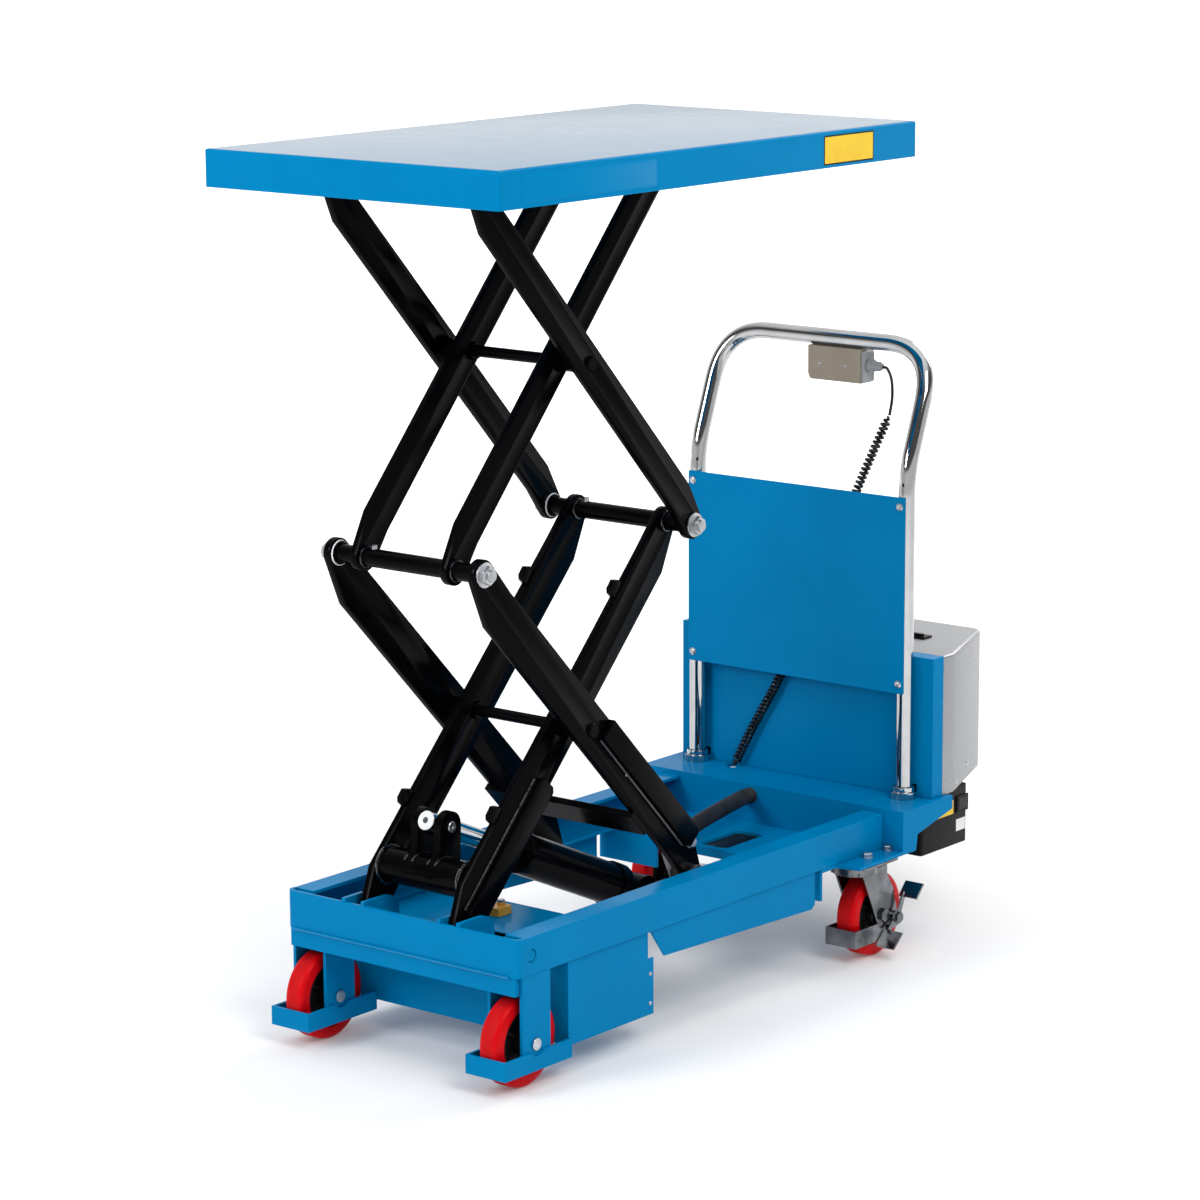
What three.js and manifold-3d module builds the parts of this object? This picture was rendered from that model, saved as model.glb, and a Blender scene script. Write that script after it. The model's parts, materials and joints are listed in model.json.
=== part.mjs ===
// Electric double-scissor lift table: a fixed base on four wheels carries two pairs of crossed arms,
// a hydraulic cylinder that spreads them, and a level deck that rises straight up.
//
// Millimetres, +X across the table, +Y from the deck's front edge towards the push handle, +Z up.
// Everything is laid out with y = 0 at the front edge of the deck and z = 0 on the floor, and the whole
// group is then shifted back so that its origin lies on the floor under the middle of the footprint.

import * as THREE from "three";
import { mergeVertices } from "three/addons/utils/BufferGeometryUtils.js";
import Module from "manifold-3d";

const wasm = await Module();
wasm.setup();

// ---------------------------------------------------------------- driving dimensions
const DECK_LENGTH = 905;
const DECK_WIDTH = 500;
const DECK_DEPTH = 50;
const DECK_PLATE = 4;
const RIB_STATIONS = [230, 380];
const TRACK_FRONT = 465;
const TRACK_REAR = 800;
const FOOTPRINT_LENGTH = 1219;
const GAP = 0.3;
const FLATNESS = 0.02;
const ARC_STEPS = 6;

const ARM_PITCH = 667;
const ARM_THICK = 12;
const LOWER_ARM_WIDTH = 60;
const UPPER_ARM_WIDTH = 47;
const LIFT_ANGLE = THREE.MathUtils.degToRad(48.2);
const RISE = ARM_PITCH * Math.sin(LIFT_ANGLE);
const SPAN = ARM_PITCH * Math.cos(LIFT_ANGLE);
const PIVOT_Y = 104;
const PIVOT_Z = 184;
const DECK_DROP = 37.6;
const DECK_TOP = PIVOT_Z + 2 * RISE + DECK_DROP;
const INNER_ARM_X = 72;
const OUTER_ARM_X = 119;

const WHEEL_RADIUS = 62.5;
const FRONT_WHEEL_X = 172;
const FRONT_WHEEL_Y = 114;
const CASTER_X = 190;
const CASTER_Y = 856;
const CASTER_TRAIL = 36;
const FORK_INNER_X = 143;
const FORK_OUTER_X = 203;
const AXLE_RADIUS = 6;

const SHEET = 5;
const RAIL_X = 204;
const RAIL_WIDTH = 35;
const RAIL_BOTTOM = 158;
const RAIL_TOP = 210;
const BASE_FRONT = 78;
const APRON_BOTTOM = 133;
const CORNER_RETURN = 16;
const BELLY_FRONT = 186;
const BELLY_REAR = 358;
const BELLY_BOTTOM = 40;
const BRIDGE_X = 240;
const BRIDGE_FRONT = 906;
const BRIDGE_REAR = 1034;
const BRIDGE_TOP = 217;
const FLANGE_FRONT = 798;
const FLOOR_FRONT = 754;
const MIDDLE_LIP_BOTTOM = 144;
const SIDE_LIP_BOTTOM = 111;
const SIDE_LIP_X = 95;
const HOSE_START = new THREE.Vector3(-35, BRIDGE_FRONT - 3 * GAP, 200);
const CORD_FOOT = new THREE.Vector3(-123, 982, BRIDGE_TOP + 1);

const HANDLE_X = 190;
const HANDLE_Y = 979;
const HANDLE_RADIUS = 12.5;
const HANDLE_KNEE_Z = 700;
const HANDLE_BAR_Y = 1046;
const HANDLE_BAR_Z = 875.5;

const PANEL_THICK = 2;
const PANEL_BOTTOM = 375;
const PANEL_TOP = 666;
const HOUSING_FRONT = 994;
const HOUSING_REAR = 1021;
const HOUSING_X = 230;
const HOUSING_TOP = 427;

const CYLINDER_TILT = THREE.MathUtils.degToRad(24);
const CYLINDER_PIN_Y = 154;
const CYLINDER_PIN_Z = 319;
const CYLINDER_LENGTH = 470;
const TORQUE_TUBE_Y = 139;
const TORQUE_TUBE_Z = 255;
const BARREL_RADIUS = 30;
const ROD_RADIUS = 13.5;

// ---------------------------------------------------------------- materials
function paint(color, roughness, metalness = 0) {
  return new THREE.MeshStandardMaterial({ color, roughness, metalness });
}
const BLUE = paint(0x0a86c4, 0.35);
const BLACK = paint(0x15161a, 0.45);
const GREY = paint(0x8c9296, 0.4, 0.3);
const CHROME = paint(0xd8dadd, 0.08, 1);
const ZINC = paint(0xb4b8ba, 0.3, 1);
const RED = paint(0xc41a20, 0.4);
const PLASTIC = paint(0x202225, 0.6);
const RUBBER = paint(0x17181a, 0.7);
const BRASS = paint(0xb07c2c, 0.3, 1);

// ---------------------------------------------------------------- solid helpers
function weld(geometry) {
  const bare = geometry.clone();
  bare.deleteAttribute("normal");
  bare.deleteAttribute("uv");
  const welded = mergeVertices(bare, 1e-4);
  const index = welded.index.array;
  const kept = [];
  for (let i = 0; i < index.length; i += 3) {
    const [a, b, c] = [index[i], index[i + 1], index[i + 2]];
    if (a !== b && b !== c && c !== a) kept.push(a, b, c);
  }
  welded.setIndex(kept);
  return welded;
}

function toManifold(geometry) {
  const welded = weld(geometry);
  return new wasm.Manifold(
    new wasm.Mesh({
      numProp: 3,
      vertProperties: new Float32Array(welded.attributes.position.array),
      triVerts: new Uint32Array(welded.index.array),
    })
  );
}

function fromManifold(solid) {
  const result = solid.getMesh();
  const geometry = new THREE.BufferGeometry();
  geometry.setAttribute("position", new THREE.BufferAttribute(result.vertProperties, 3));
  geometry.setIndex(new THREE.BufferAttribute(result.triVerts, 1));
  return geometry;
}

function join(...pieces) {
  return fromManifold(pieces.map(toManifold).reduce((a, b) => a.add(b)));
}

function cut(body, ...tools) {
  return fromManifold([body, ...tools].map(toManifold).reduce((a, b) => a.subtract(b)));
}

function common(...pieces) {
  return fromManifold(pieces.map(toManifold).reduce((a, b) => a.intersect(b)));
}

function mirrorX(geometry) {
  const mirrored = weld(geometry);
  mirrored.scale(-1, 1, 1);
  const index = Array.from(mirrored.index.array);
  for (let i = 0; i < index.length; i += 3) {
    [index[i + 1], index[i + 2]] = [index[i + 2], index[i + 1]];
  }
  mirrored.setIndex(index);
  return mirrored;
}

// A box given by its low and high faces along each axis.
function block(x0, x1, y0, y1, z0, z1) {
  const box = new THREE.BoxGeometry(x1 - x0, y1 - y0, z1 - z0);
  return box.translate((x0 + x1) / 2, (y0 + y1) / 2, (z0 + z1) / 2);
}

// A round bar along X, with a facet corner at its lowest point.
function barX(radius, x0, x1, y = 0, z = 0, sides = 16) {
  const bar = new THREE.CylinderGeometry(radius, radius, x1 - x0, sides);
  return bar.rotateZ(-Math.PI / 2).translate((x0 + x1) / 2, y, z);
}

function barZ(radius, z0, z1, x = 0, y = 0, sides = 16) {
  const bar = new THREE.CylinderGeometry(radius, radius, z1 - z0, sides);
  return bar.rotateX(Math.PI / 2).translate(x, y, (z0 + z1) / 2);
}

function barY(radius, y0, y1, x = 0, z = 0, sides = 16) {
  const bar = new THREE.CylinderGeometry(radius, radius, y1 - y0, sides);
  return bar.translate(x, (y0 + y1) / 2, z);
}

// A solid of revolution about the X axis from (x, radius) points.
function turnedX(profile, sides = 16) {
  const points = profile.map(([x, radius]) => new THREE.Vector2(radius, x));
  return new THREE.LatheGeometry(points, sides).rotateZ(-Math.PI / 2);
}

// An outline drawn in the Y-Z plane, made solid from x0 to x1.
function plateYZ(shape, x0, x1, curveSegments = ARC_STEPS) {
  const plate = new THREE.ExtrudeGeometry(shape, { depth: x1 - x0, bevelEnabled: false, curveSegments });
  const toSide = new THREE.Matrix4().makeBasis(
    new THREE.Vector3(0, 1, 0),
    new THREE.Vector3(0, 0, 1),
    new THREE.Vector3(1, 0, 0)
  );
  return plate.applyMatrix4(toSide).translate(x0, 0, 0);
}

// An outline drawn in the X-Y plane, made solid from z0 to z1.
function plateXY(shape, z0, z1, curveSegments = 8) {
  const plate = new THREE.ExtrudeGeometry(shape, { depth: z1 - z0, bevelEnabled: false, curveSegments });
  return plate.translate(0, 0, z0);
}

function polygon(points) {
  return new THREE.Shape(points.map(([a, b]) => new THREE.Vector2(a, b)));
}

// A round hole whose flats, not its corners, lie at the given radius.
function hole(shape, a, b, radius) {
  const path = new THREE.Path();
  path.absarc(a, b, radius / Math.cos(Math.PI / (2 * ARC_STEPS)), 0, 2 * Math.PI, true);
  shape.holes.push(path);
}

function roundedRectangle(a0, a1, b0, b1, radius) {
  const shape = new THREE.Shape();
  shape.moveTo(a0 + radius, b0);
  shape.absarc(a1 - radius, b0 + radius, radius, -Math.PI / 2, 0, false);
  shape.absarc(a1 - radius, b1 - radius, radius, 0, Math.PI / 2, false);
  shape.absarc(a0 + radius, b1 - radius, radius, Math.PI / 2, Math.PI, false);
  shape.absarc(a0 + radius, b0 + radius, radius, Math.PI, 1.5 * Math.PI, false);
  return shape;
}

// A round tube or cord along a curve.
function along(curve, radius, steps, sides) {
  const section = new THREE.Shape();
  section.absarc(0, 0, radius, 0, 2 * Math.PI, false);
  return new THREE.ExtrudeGeometry(section, {
    steps,
    extrudePath: curve,
    curveSegments: sides / 2,
    bevelEnabled: false,
  });
}

const model = new THREE.Group();
const layout = new THREE.Group();
layout.position.y = -FOOTPRINT_LENGTH / 2;
model.add(layout);

function add(name, geometry, material, parent = layout) {
  const mesh = new THREE.Mesh(fromManifold(toManifold(geometry).simplify(FLATNESS)), material);
  mesh.name = name;
  parent.add(mesh);
  return mesh;
}

// The same piece on the right (+X) and mirrored on the left.
function addPair(name, geometry, material, parent = layout) {
  add(`${name}_right`, geometry, material, parent);
  add(`${name}_left`, mirrorX(geometry), material, parent);
}

// ---------------------------------------------------------------- base frame
function rail() {
  const front = BASE_FRONT + CORNER_RETURN + GAP;
  const rear = BRIDGE_FRONT - GAP;
  const inner = RAIL_X - RAIL_WIDTH;
  const pinAccess = barX(9, RAIL_X - 10, RAIL_X + 5, PIVOT_Y + 3, PIVOT_Z);
  const lowCorner = BELLY_REAR + 34;
  const tail = 743;
  const skirt = polygon([
    [BELLY_REAR + 2, RAIL_BOTTOM + 2],
    [lowCorner, 116],
    [tail - 8, 103],
    [tail, 109],
    [tail, RAIL_BOTTOM + 2],
  ]);
  const channel = join(
    block(RAIL_X - SHEET, RAIL_X, front, rear, RAIL_BOTTOM, RAIL_TOP),
    block(inner, RAIL_X - 1, front, rear, RAIL_TOP - SHEET, RAIL_TOP),
    block(inner, RAIL_X - 1, front, rear, RAIL_BOTTOM, RAIL_BOTTOM + SHEET),
    plateYZ(skirt, RAIL_X - 6, RAIL_X - 3)
  );
  return cut(channel, pinAccess);
}

function pivotEar() {
  const ear = new THREE.Shape();
  ear.moveTo(BASE_FRONT + 1, RAIL_BOTTOM);
  ear.lineTo(PIVOT_Y + 46, RAIL_BOTTOM);
  ear.lineTo(PIVOT_Y + 46, PIVOT_Z + 6);
  ear.absarc(PIVOT_Y + 20, PIVOT_Z + 6, 26, 0, Math.PI / 2, false);
  ear.lineTo(BASE_FRONT + 1, PIVOT_Z + 32);
  return ear;
}

// The front plate seen from above: its ends turn back along the sides round a bent corner.
function frontPlan() {
  const bend = 10;
  const rear = BASE_FRONT + CORNER_RETURN;
  const plan = new THREE.Shape();
  plan.moveTo(RAIL_X, rear);
  plan.lineTo(RAIL_X - SHEET, rear);
  plan.absarc(RAIL_X - bend, BASE_FRONT + bend, bend - SHEET, 0, -Math.PI / 2, true);
  plan.absarc(-RAIL_X + bend, BASE_FRONT + bend, bend - SHEET, -Math.PI / 2, -Math.PI, true);
  plan.lineTo(-RAIL_X + SHEET, rear);
  plan.lineTo(-RAIL_X, rear);
  plan.absarc(-RAIL_X + bend, BASE_FRONT + bend, bend, Math.PI, 1.5 * Math.PI, false);
  plan.absarc(RAIL_X - bend, BASE_FRONT + bend, bend, -Math.PI / 2, 0, false);
  return plan;
}

function frontBeam() {
  const earThick = 6;
  const outerEar = INNER_ARM_X + 2 * ARM_THICK + 2;
  const innerEar = INNER_ARM_X - earThick - 2;
  const pieces = [
    plateXY(frontPlan(), RAIL_BOTTOM, RAIL_TOP + 0.5, 5),
    block(-RAIL_X + 12, RAIL_X - 12, BASE_FRONT + 1, BASE_FRONT + SHEET, RAIL_BOTTOM - 6, RAIL_BOTTOM + 9),
    block(-RAIL_X + 6, RAIL_X - 6, BASE_FRONT + 1, BASE_FRONT + 9, APRON_BOTTOM, RAIL_BOTTOM - GAP),
  ];
  for (const side of [-1, 1]) {
    for (const x of [innerEar, outerEar]) {
      const [low, high] = side > 0 ? [x, x + earThick] : [-x - earThick, -x];
      pieces.push(plateYZ(pivotEar(), low, high, 4));
    }
    const pinEnds = [innerEar - 3, outerEar + earThick + 6].map((x) => side * x);
    pieces.push(barX(10, Math.min(...pinEnds), Math.max(...pinEnds), PIVOT_Y, PIVOT_Z));
  }
  return join(...pieces);
}

function rearBridge() {
  const lipEnd = RAIL_X - 2;
  const bottom = RAIL_BOTTOM - SHEET - GAP;
  const top = RAIL_BOTTOM - GAP;
  const lip = (left, right, low) => block(left, right, FLOOR_FRONT, FLOOR_FRONT + SHEET, low, bottom + 1);
  const plan = polygon([
    [-BRIDGE_X, FLANGE_FRONT],
    [-RAIL_X, FLANGE_FRONT - 8],
    [-RAIL_X, FLOOR_FRONT],
    [RAIL_X, FLOOR_FRONT],
    [RAIL_X, FLANGE_FRONT - 8],
    [BRIDGE_X, FLANGE_FRONT],
    [BRIDGE_X, BRIDGE_FRONT + 4],
    [-BRIDGE_X, BRIDGE_FRONT + 4],
  ]);
  const slotFront = FLOOR_FRONT + 11;
  const floorSlot = roundedRectangle(-24, 24, slotFront, slotFront + 95, 8);
  plan.holes.push(new THREE.Path(floorSlot.getPoints(3).reverse()));
  const gusset = polygon([
    [BRIDGE_FRONT + 1, bottom],
    [BRIDGE_FRONT + 34, bottom],
    [BRIDGE_FRONT + 38, bottom + 24],
    [BRIDGE_REAR, BRIDGE_TOP - 20],
    [BRIDGE_REAR, BRIDGE_TOP],
    [BRIDGE_FRONT + 1, BRIDGE_TOP],
  ]);
  const cordHole = barZ(11, BRIDGE_TOP - 10, BRIDGE_TOP + 5, CORD_FOOT.x - 2, CORD_FOOT.y);
  const hoseHole = barY(9, BRIDGE_FRONT - 5, BRIDGE_FRONT + 10, HOSE_START.x, HOSE_START.z);
  const body = join(
    plateXY(plan, bottom, top, 4),
    block(-BRIDGE_X, BRIDGE_X, BRIDGE_FRONT, BRIDGE_FRONT + SHEET, bottom, BRIDGE_TOP),
    block(-BRIDGE_X, BRIDGE_X, BRIDGE_FRONT, BRIDGE_REAR, BRIDGE_TOP - SHEET, BRIDGE_TOP),
    block(-BRIDGE_X, BRIDGE_X, BRIDGE_FRONT, CASTER_Y + 84, bottom, top),
    lip(-lipEnd, lipEnd, MIDDLE_LIP_BOTTOM),
    lip(-lipEnd, -SIDE_LIP_X, SIDE_LIP_BOTTOM),
    lip(SIDE_LIP_X, lipEnd, SIDE_LIP_BOTTOM),
    plateYZ(gusset, BRIDGE_X - SHEET, BRIDGE_X),
    plateYZ(gusset, -BRIDGE_X, -BRIDGE_X + SHEET)
  );
  return cut(body, cordHole, hoseHole);
}

function bellyBox() {
  const x = RAIL_X - 4;
  const wall = 2.5;
  const top = RAIL_BOTTOM - GAP;
  const rear = BELLY_REAR - GAP;
  const box = cut(
    block(-x, x, BELLY_FRONT, rear, BELLY_BOTTOM, top),
    block(-x + wall, x - wall, BELLY_FRONT + wall, rear - wall, BELLY_BOTTOM + wall, top - wall),
    block(-60, 60, BELLY_FRONT + 14, BELLY_FRONT + 50, top - 10, top + 10)
  );
  const strips = [-1, 1].map((side) =>
    block(
      side > 0 ? x - wall : -x,
      side > 0 ? x : -x + wall,
      rear - 1,
      rear + 12,
      BELLY_BOTTOM,
      RAIL_BOTTOM - 38
    )
  );
  return join(box, ...strips);
}

add("front_beam", frontBeam(), BLUE);
addPair("rail", rail(), BLUE);
add("rear_bridge", rearBridge(), BLUE);
add("belly_box", bellyBox(), BLUE);

// ---------------------------------------------------------------- front wheels
function frontFork() {
  const top = RAIL_BOTTOM - GAP;
  const front = BASE_FRONT + 10;
  const rear = front + 57;
  const leg = polygon([
    [front, top],
    [front, 48],
    [front + 12, 34],
    [rear - 12, 34],
    [rear, 48],
    [rear, top],
  ]);
  hole(leg, FRONT_WHEEL_Y, WHEEL_RADIUS, AXLE_RADIUS + GAP);
  const guardInner = FORK_INNER_X - 4;
  const guardOuter = FORK_OUTER_X + 4;
  const guardFront = FRONT_WHEEL_Y - 67;
  const guardRear = FRONT_WHEEL_Y + 71;
  const strip = 4;
  const guardZ = [27, 53];
  const guardCut = barX(AXLE_RADIUS + 10, guardInner - 5, guardOuter + 5, FRONT_WHEEL_Y, WHEEL_RADIUS);
  const guard = cut(
    join(
      block(guardInner, guardOuter, guardFront, guardFront + strip, ...guardZ),
      block(guardInner, guardInner + strip, guardFront, guardRear, ...guardZ),
      block(guardOuter - strip, guardOuter, guardFront, guardRear, ...guardZ)
    ),
    guardCut
  );
  return join(
    plateYZ(leg, FORK_INNER_X, FORK_INNER_X + SHEET),
    plateYZ(leg, FORK_OUTER_X - SHEET, FORK_OUTER_X),
    block(FORK_INNER_X, FORK_OUTER_X, front, rear, top - SHEET, top),
    guard
  );
}

// A plain axle with a riveted head beyond each leg of the fork.
function frontAxle() {
  const head = 3;
  const shank = barX(AXLE_RADIUS, FORK_INNER_X - 2, FORK_OUTER_X + 2, FRONT_WHEEL_Y, WHEEL_RADIUS);
  const outer = barX(8.5, FORK_OUTER_X + GAP, FORK_OUTER_X + GAP + head, FRONT_WHEEL_Y, WHEEL_RADIUS);
  const inner = barX(8.5, FORK_INNER_X - GAP - head, FORK_INNER_X - GAP, FRONT_WHEEL_Y, WHEEL_RADIUS);
  return join(shank, outer, inner);
}

// A wheel turned about X through its own centre: tread, recessed web and bored hub.
function wheel(treadHalf, hubHalf, bore) {
  const profile = [
    [-hubHalf, bore],
    [-hubHalf, 20],
    [-treadHalf + 8, 24],
    [-treadHalf, 46],
    [-treadHalf, WHEEL_RADIUS - 4],
    [-treadHalf + 4, WHEEL_RADIUS],
    [treadHalf - 4, WHEEL_RADIUS],
    [treadHalf, WHEEL_RADIUS - 4],
    [treadHalf, 46],
    [treadHalf - 8, 24],
    [hubHalf, 20],
    [hubHalf, bore],
    [-hubHalf, bore],
  ];
  return turnedX(profile, 24);
}

addPair("front_fork", frontFork(), BLUE);
addPair("front_axle", frontAxle(), ZINC);
for (const [side, word] of [
  [1, "right"],
  [-1, "left"],
]) {
  const frontWheel = add(`front_wheel_${word}`, wheel(16, 21, AXLE_RADIUS + GAP), RED);
  frontWheel.position.set(side * FRONT_WHEEL_X, FRONT_WHEEL_Y, WHEEL_RADIUS);
}

// ---------------------------------------------------------------- swivel casters
const CASTER_TOP = RAIL_BOTTOM - SHEET - 2 * GAP;
const SWIVEL_Z = 136;
const CASTER_LEG_X = 22;
const CASTER_AXLE = 6;
const CASTER_LEG_THICK = 3.5;
const PEDAL_Y = 60;
const PEDAL_Z = 55;
const PEDAL_X = 32;
const PEDAL_PIN_RADIUS = 5;
const TREAD_WIDTH = 31;

// Drawn with the swivel axis at x = 0, y = 0 and the floor at z = 0.
function casterPlate() {
  return join(
    plateXY(roundedRectangle(-50, 50, -42, 42, 6), CASTER_TOP - 4, CASTER_TOP, 3),
    barZ(34, SWIVEL_Z + 6, CASTER_TOP - 3),
    barZ(8, SWIVEL_Z - 12, SWIVEL_Z + 8, 0, 0, 16)
  );
}

// One side of the fork: it runs back from the crown, round the axle and round the pin of the brake lever.
function casterLeg() {
  const top = SWIVEL_Z - 1;
  const leg = new THREE.Shape();
  leg.moveTo(-20, top);
  leg.lineTo(-13, SWIVEL_Z - 10);
  leg.lineTo(CASTER_TRAIL - 16, WHEEL_RADIUS - 6);
  leg.absarc(CASTER_TRAIL, WHEEL_RADIUS, 17, Math.PI * 1.12, Math.PI * 1.6, false);
  leg.absarc(PEDAL_Y, PEDAL_Z, 13, Math.PI * 1.6, Math.PI * 2.1, false);
  leg.lineTo(62, SWIVEL_Z - 38);
  leg.lineTo(46, SWIVEL_Z - 14);
  leg.lineTo(46, top);
  return leg;
}

function casterFork(side) {
  const leg = casterLeg();
  const outerFace = CASTER_LEG_X + CASTER_LEG_THICK;
  const guardFront = CASTER_TRAIL - WHEEL_RADIUS - 8;
  const guardZ = [26, 52];
  const guardX = outerFace + 1;
  const span = (a, b) => (side > 0 ? [a, b] : [-b, -a]);
  const crown = join(
    block(-outerFace, outerFace, -24, 46, SWIVEL_Z - 5, SWIVEL_Z),
    barZ(33, SWIVEL_Z - 5, SWIVEL_Z + 5.5)
  );
  return join(
    cut(crown, barZ(8 + GAP, SWIVEL_Z - 20, SWIVEL_Z + 20, 0, 0, 16)),
    plateYZ(leg, CASTER_LEG_X, outerFace, 6),
    plateYZ(leg, -outerFace, -CASTER_LEG_X, 6),
    block(-guardX, guardX, guardFront, guardFront + 3, ...guardZ),
    block(CASTER_LEG_X + 2, guardX, guardFront, CASTER_TRAIL + 6, ...guardZ),
    block(-guardX, -CASTER_LEG_X - 2, guardFront, CASTER_TRAIL + 6, ...guardZ),
    barX(CASTER_AXLE, -outerFace - 4, outerFace + 4, CASTER_TRAIL, WHEEL_RADIUS, 16),
    barX(10, outerFace - 1, outerFace + 5, CASTER_TRAIL, WHEEL_RADIUS, 6),
    barX(10, -outerFace - 5, -outerFace + 1, CASTER_TRAIL, WHEEL_RADIUS, 6),
    barX(9, ...span(outerFace - 1, PEDAL_X - GAP), PEDAL_Y, PEDAL_Z, 12),
    barX(PEDAL_PIN_RADIUS, ...span(outerFace, PEDAL_X + 7), PEDAL_Y, PEDAL_Z, 12),
    barX(8.5, ...span(PEDAL_X + 3 + GAP, PEDAL_X + 8), PEDAL_Y, PEDAL_Z, 6)
  );
}

// The brake lever turns on a pin outside the fork: its rear tread locks the wheel, its front tread frees it.
function casterPedal() {
  const lever = new THREE.Shape();
  lever.moveTo(PEDAL_Y - 8, PEDAL_Z - 10);
  lever.absarc(PEDAL_Y, PEDAL_Z, 12, -1.1, 0.6, false);
  lever.lineTo(PEDAL_Y + 22, PEDAL_Z + 32);
  lever.lineTo(PEDAL_Y + 15, PEDAL_Z + 36);
  lever.lineTo(PEDAL_Y + 3, PEDAL_Z + 12);
  lever.lineTo(PEDAL_Y - 22, PEDAL_Z - 11);
  lever.lineTo(PEDAL_Y - 22, PEDAL_Z - 17);
  hole(lever, PEDAL_Y, PEDAL_Z, PEDAL_PIN_RADIUS + GAP);
  const rearTread = polygon([
    [PEDAL_Y + 12, PEDAL_Z + 29],
    [PEDAL_Y + 15, PEDAL_Z + 27],
    [PEDAL_Y + 33, PEDAL_Z + 46],
    [PEDAL_Y + 30, PEDAL_Z + 48],
  ]);
  const frontTread = polygon([
    [PEDAL_Y - 46, PEDAL_Z - 34],
    [PEDAL_Y - 43, PEDAL_Z - 36],
    [PEDAL_Y - 20, PEDAL_Z - 16],
    [PEDAL_Y - 23, PEDAL_Z - 14],
  ]);
  const treadInner = PEDAL_X - 4;
  return join(
    plateYZ(lever, PEDAL_X, PEDAL_X + 3),
    plateYZ(rearTread, treadInner, treadInner + TREAD_WIDTH),
    plateYZ(frontTread, treadInner, treadInner + TREAD_WIDTH)
  );
}

for (const [side, word] of [
  [1, "right"],
  [-1, "left"],
]) {
  const caster = new THREE.Group();
  caster.position.set(side * CASTER_X, CASTER_Y, 0);
  layout.add(caster);
  add(`caster_plate_${word}`, casterPlate(), ZINC, caster);
  add(`caster_fork_${word}`, casterFork(side), ZINC, caster);
  add(`caster_pedal_${word}`, side > 0 ? casterPedal() : mirrorX(casterPedal()), ZINC, caster);
  const roller = add(`caster_wheel_${word}`, wheel(16, 20, CASTER_AXLE + GAP), RED, caster);
  roller.position.set(0, CASTER_TRAIL, WHEEL_RADIUS);
}

// ---------------------------------------------------------------- scissor arms
const MID_TUBE_RADIUS = 12.5;
const TIE_RADIUS = 9;
const PIN_RADIUS = 10;
const DECK_PIN_RADIUS = 8;

// Angles at which tangents from a point touch a circle at the origin.
function tangentAngle(point, radius, turn) {
  return Math.atan2(point.y, point.x) + turn * Math.acos(radius / point.length());
}

// A flat bar between two pivots at (0, 0) and (ARM_PITCH, 0). Its lower edge lies lowFront below the front
// pivot and lowRear below the rear one, and both ends taper from the bar's full width to a round head.
function armShape(width, lowFront, lowRear, headFront, headRear, taper) {
  const low = (u) => -lowFront + ((lowFront - lowRear) * u) / ARM_PITCH;
  const point = (u, v) => new THREE.Vector2(u, v);
  const frontHigh = point(taper, low(taper) + width);
  const frontLow = point(taper, low(taper));
  const rearStart = ARM_PITCH - taper;
  const rearHigh = point(-taper, low(rearStart) + width);
  const rearLow = point(-taper, low(rearStart));
  const shape = new THREE.Shape();
  shape.moveTo(rearStart, rearHigh.y);
  shape.lineTo(frontHigh.x, frontHigh.y);
  shape.absarc(
    0,
    0,
    headFront,
    tangentAngle(frontHigh, headFront, 1),
    2 * Math.PI + tangentAngle(frontLow, headFront, -1),
    false
  );
  shape.lineTo(frontLow.x, frontLow.y);
  shape.lineTo(rearStart, rearLow.y);
  shape.absarc(
    ARM_PITCH,
    0,
    headRear,
    tangentAngle(rearLow, headRear, 1),
    tangentAngle(rearHigh, headRear, -1),
    false
  );
  return { shape, low };
}

// A bar welded on the outer face of an arm, between two stations along it.
function doubler(low, from, to, v0, v1, thick) {
  const outline = polygon([
    [from, low(from) + v0],
    [to - 6, low(to) + v0],
    [to, low(to) + v0 + 6],
    [to, low(to) + v1 - 6],
    [to - 6, low(to) + v1],
    [from, low(from) + v1],
  ]);
  return plateYZ(outline, ARM_THICK - 1, ARM_THICK + thick);
}

function lowerInnerArm() {
  const { shape, low } = armShape(LOWER_ARM_WIDTH, 14, 42, 18, 20, 60);
  hole(shape, 0, 0, PIN_RADIUS + GAP);
  hole(shape, ARM_PITCH / 2, 0, TIE_RADIUS + GAP);
  hole(shape, ARM_PITCH, 0, MID_TUBE_RADIUS + GAP);
  const pieces = [plateYZ(shape, 0, ARM_THICK)];
  pieces.push(doubler(low, 30, 250, 0, 34, 12));
  for (const station of [165, 535]) {
    const edge = low(station) + LOWER_ARM_WIDTH;
    const tab = polygon([
      [station - 11, edge - 3],
      [station + 13, edge - 3],
      [station + 13, edge + 10],
      [station + 8, edge + 17],
      [station - 6, edge + 17],
      [station - 11, edge + 12],
    ]);
    pieces.push(plateYZ(tab, 2, ARM_THICK - 2));
  }
  return join(...pieces);
}

function lowerOuterArm() {
  const { shape, low } = armShape(LOWER_ARM_WIDTH, 44, 12, 20, 18, 60);
  hole(shape, 0, 0, PIN_RADIUS + GAP);
  hole(shape, ARM_PITCH / 2, 0, TIE_RADIUS + GAP);
  const stub = turnedX(
    [
      [1, 0],
      [1, 15],
      [ARM_THICK + 12, 15],
      [ARM_THICK + 12, 18],
      [ARM_THICK + 38, 18],
      [ARM_THICK + 38, PIN_RADIUS],
      [76, PIN_RADIUS],
      [76, 0],
    ],
    16
  ).translate(0, ARM_PITCH, 0);
  return join(
    plateYZ(shape, 0, ARM_THICK),
    doubler(low, 350, 620, 28, LOWER_ARM_WIDTH, 10),
    stub
  );
}

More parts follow.
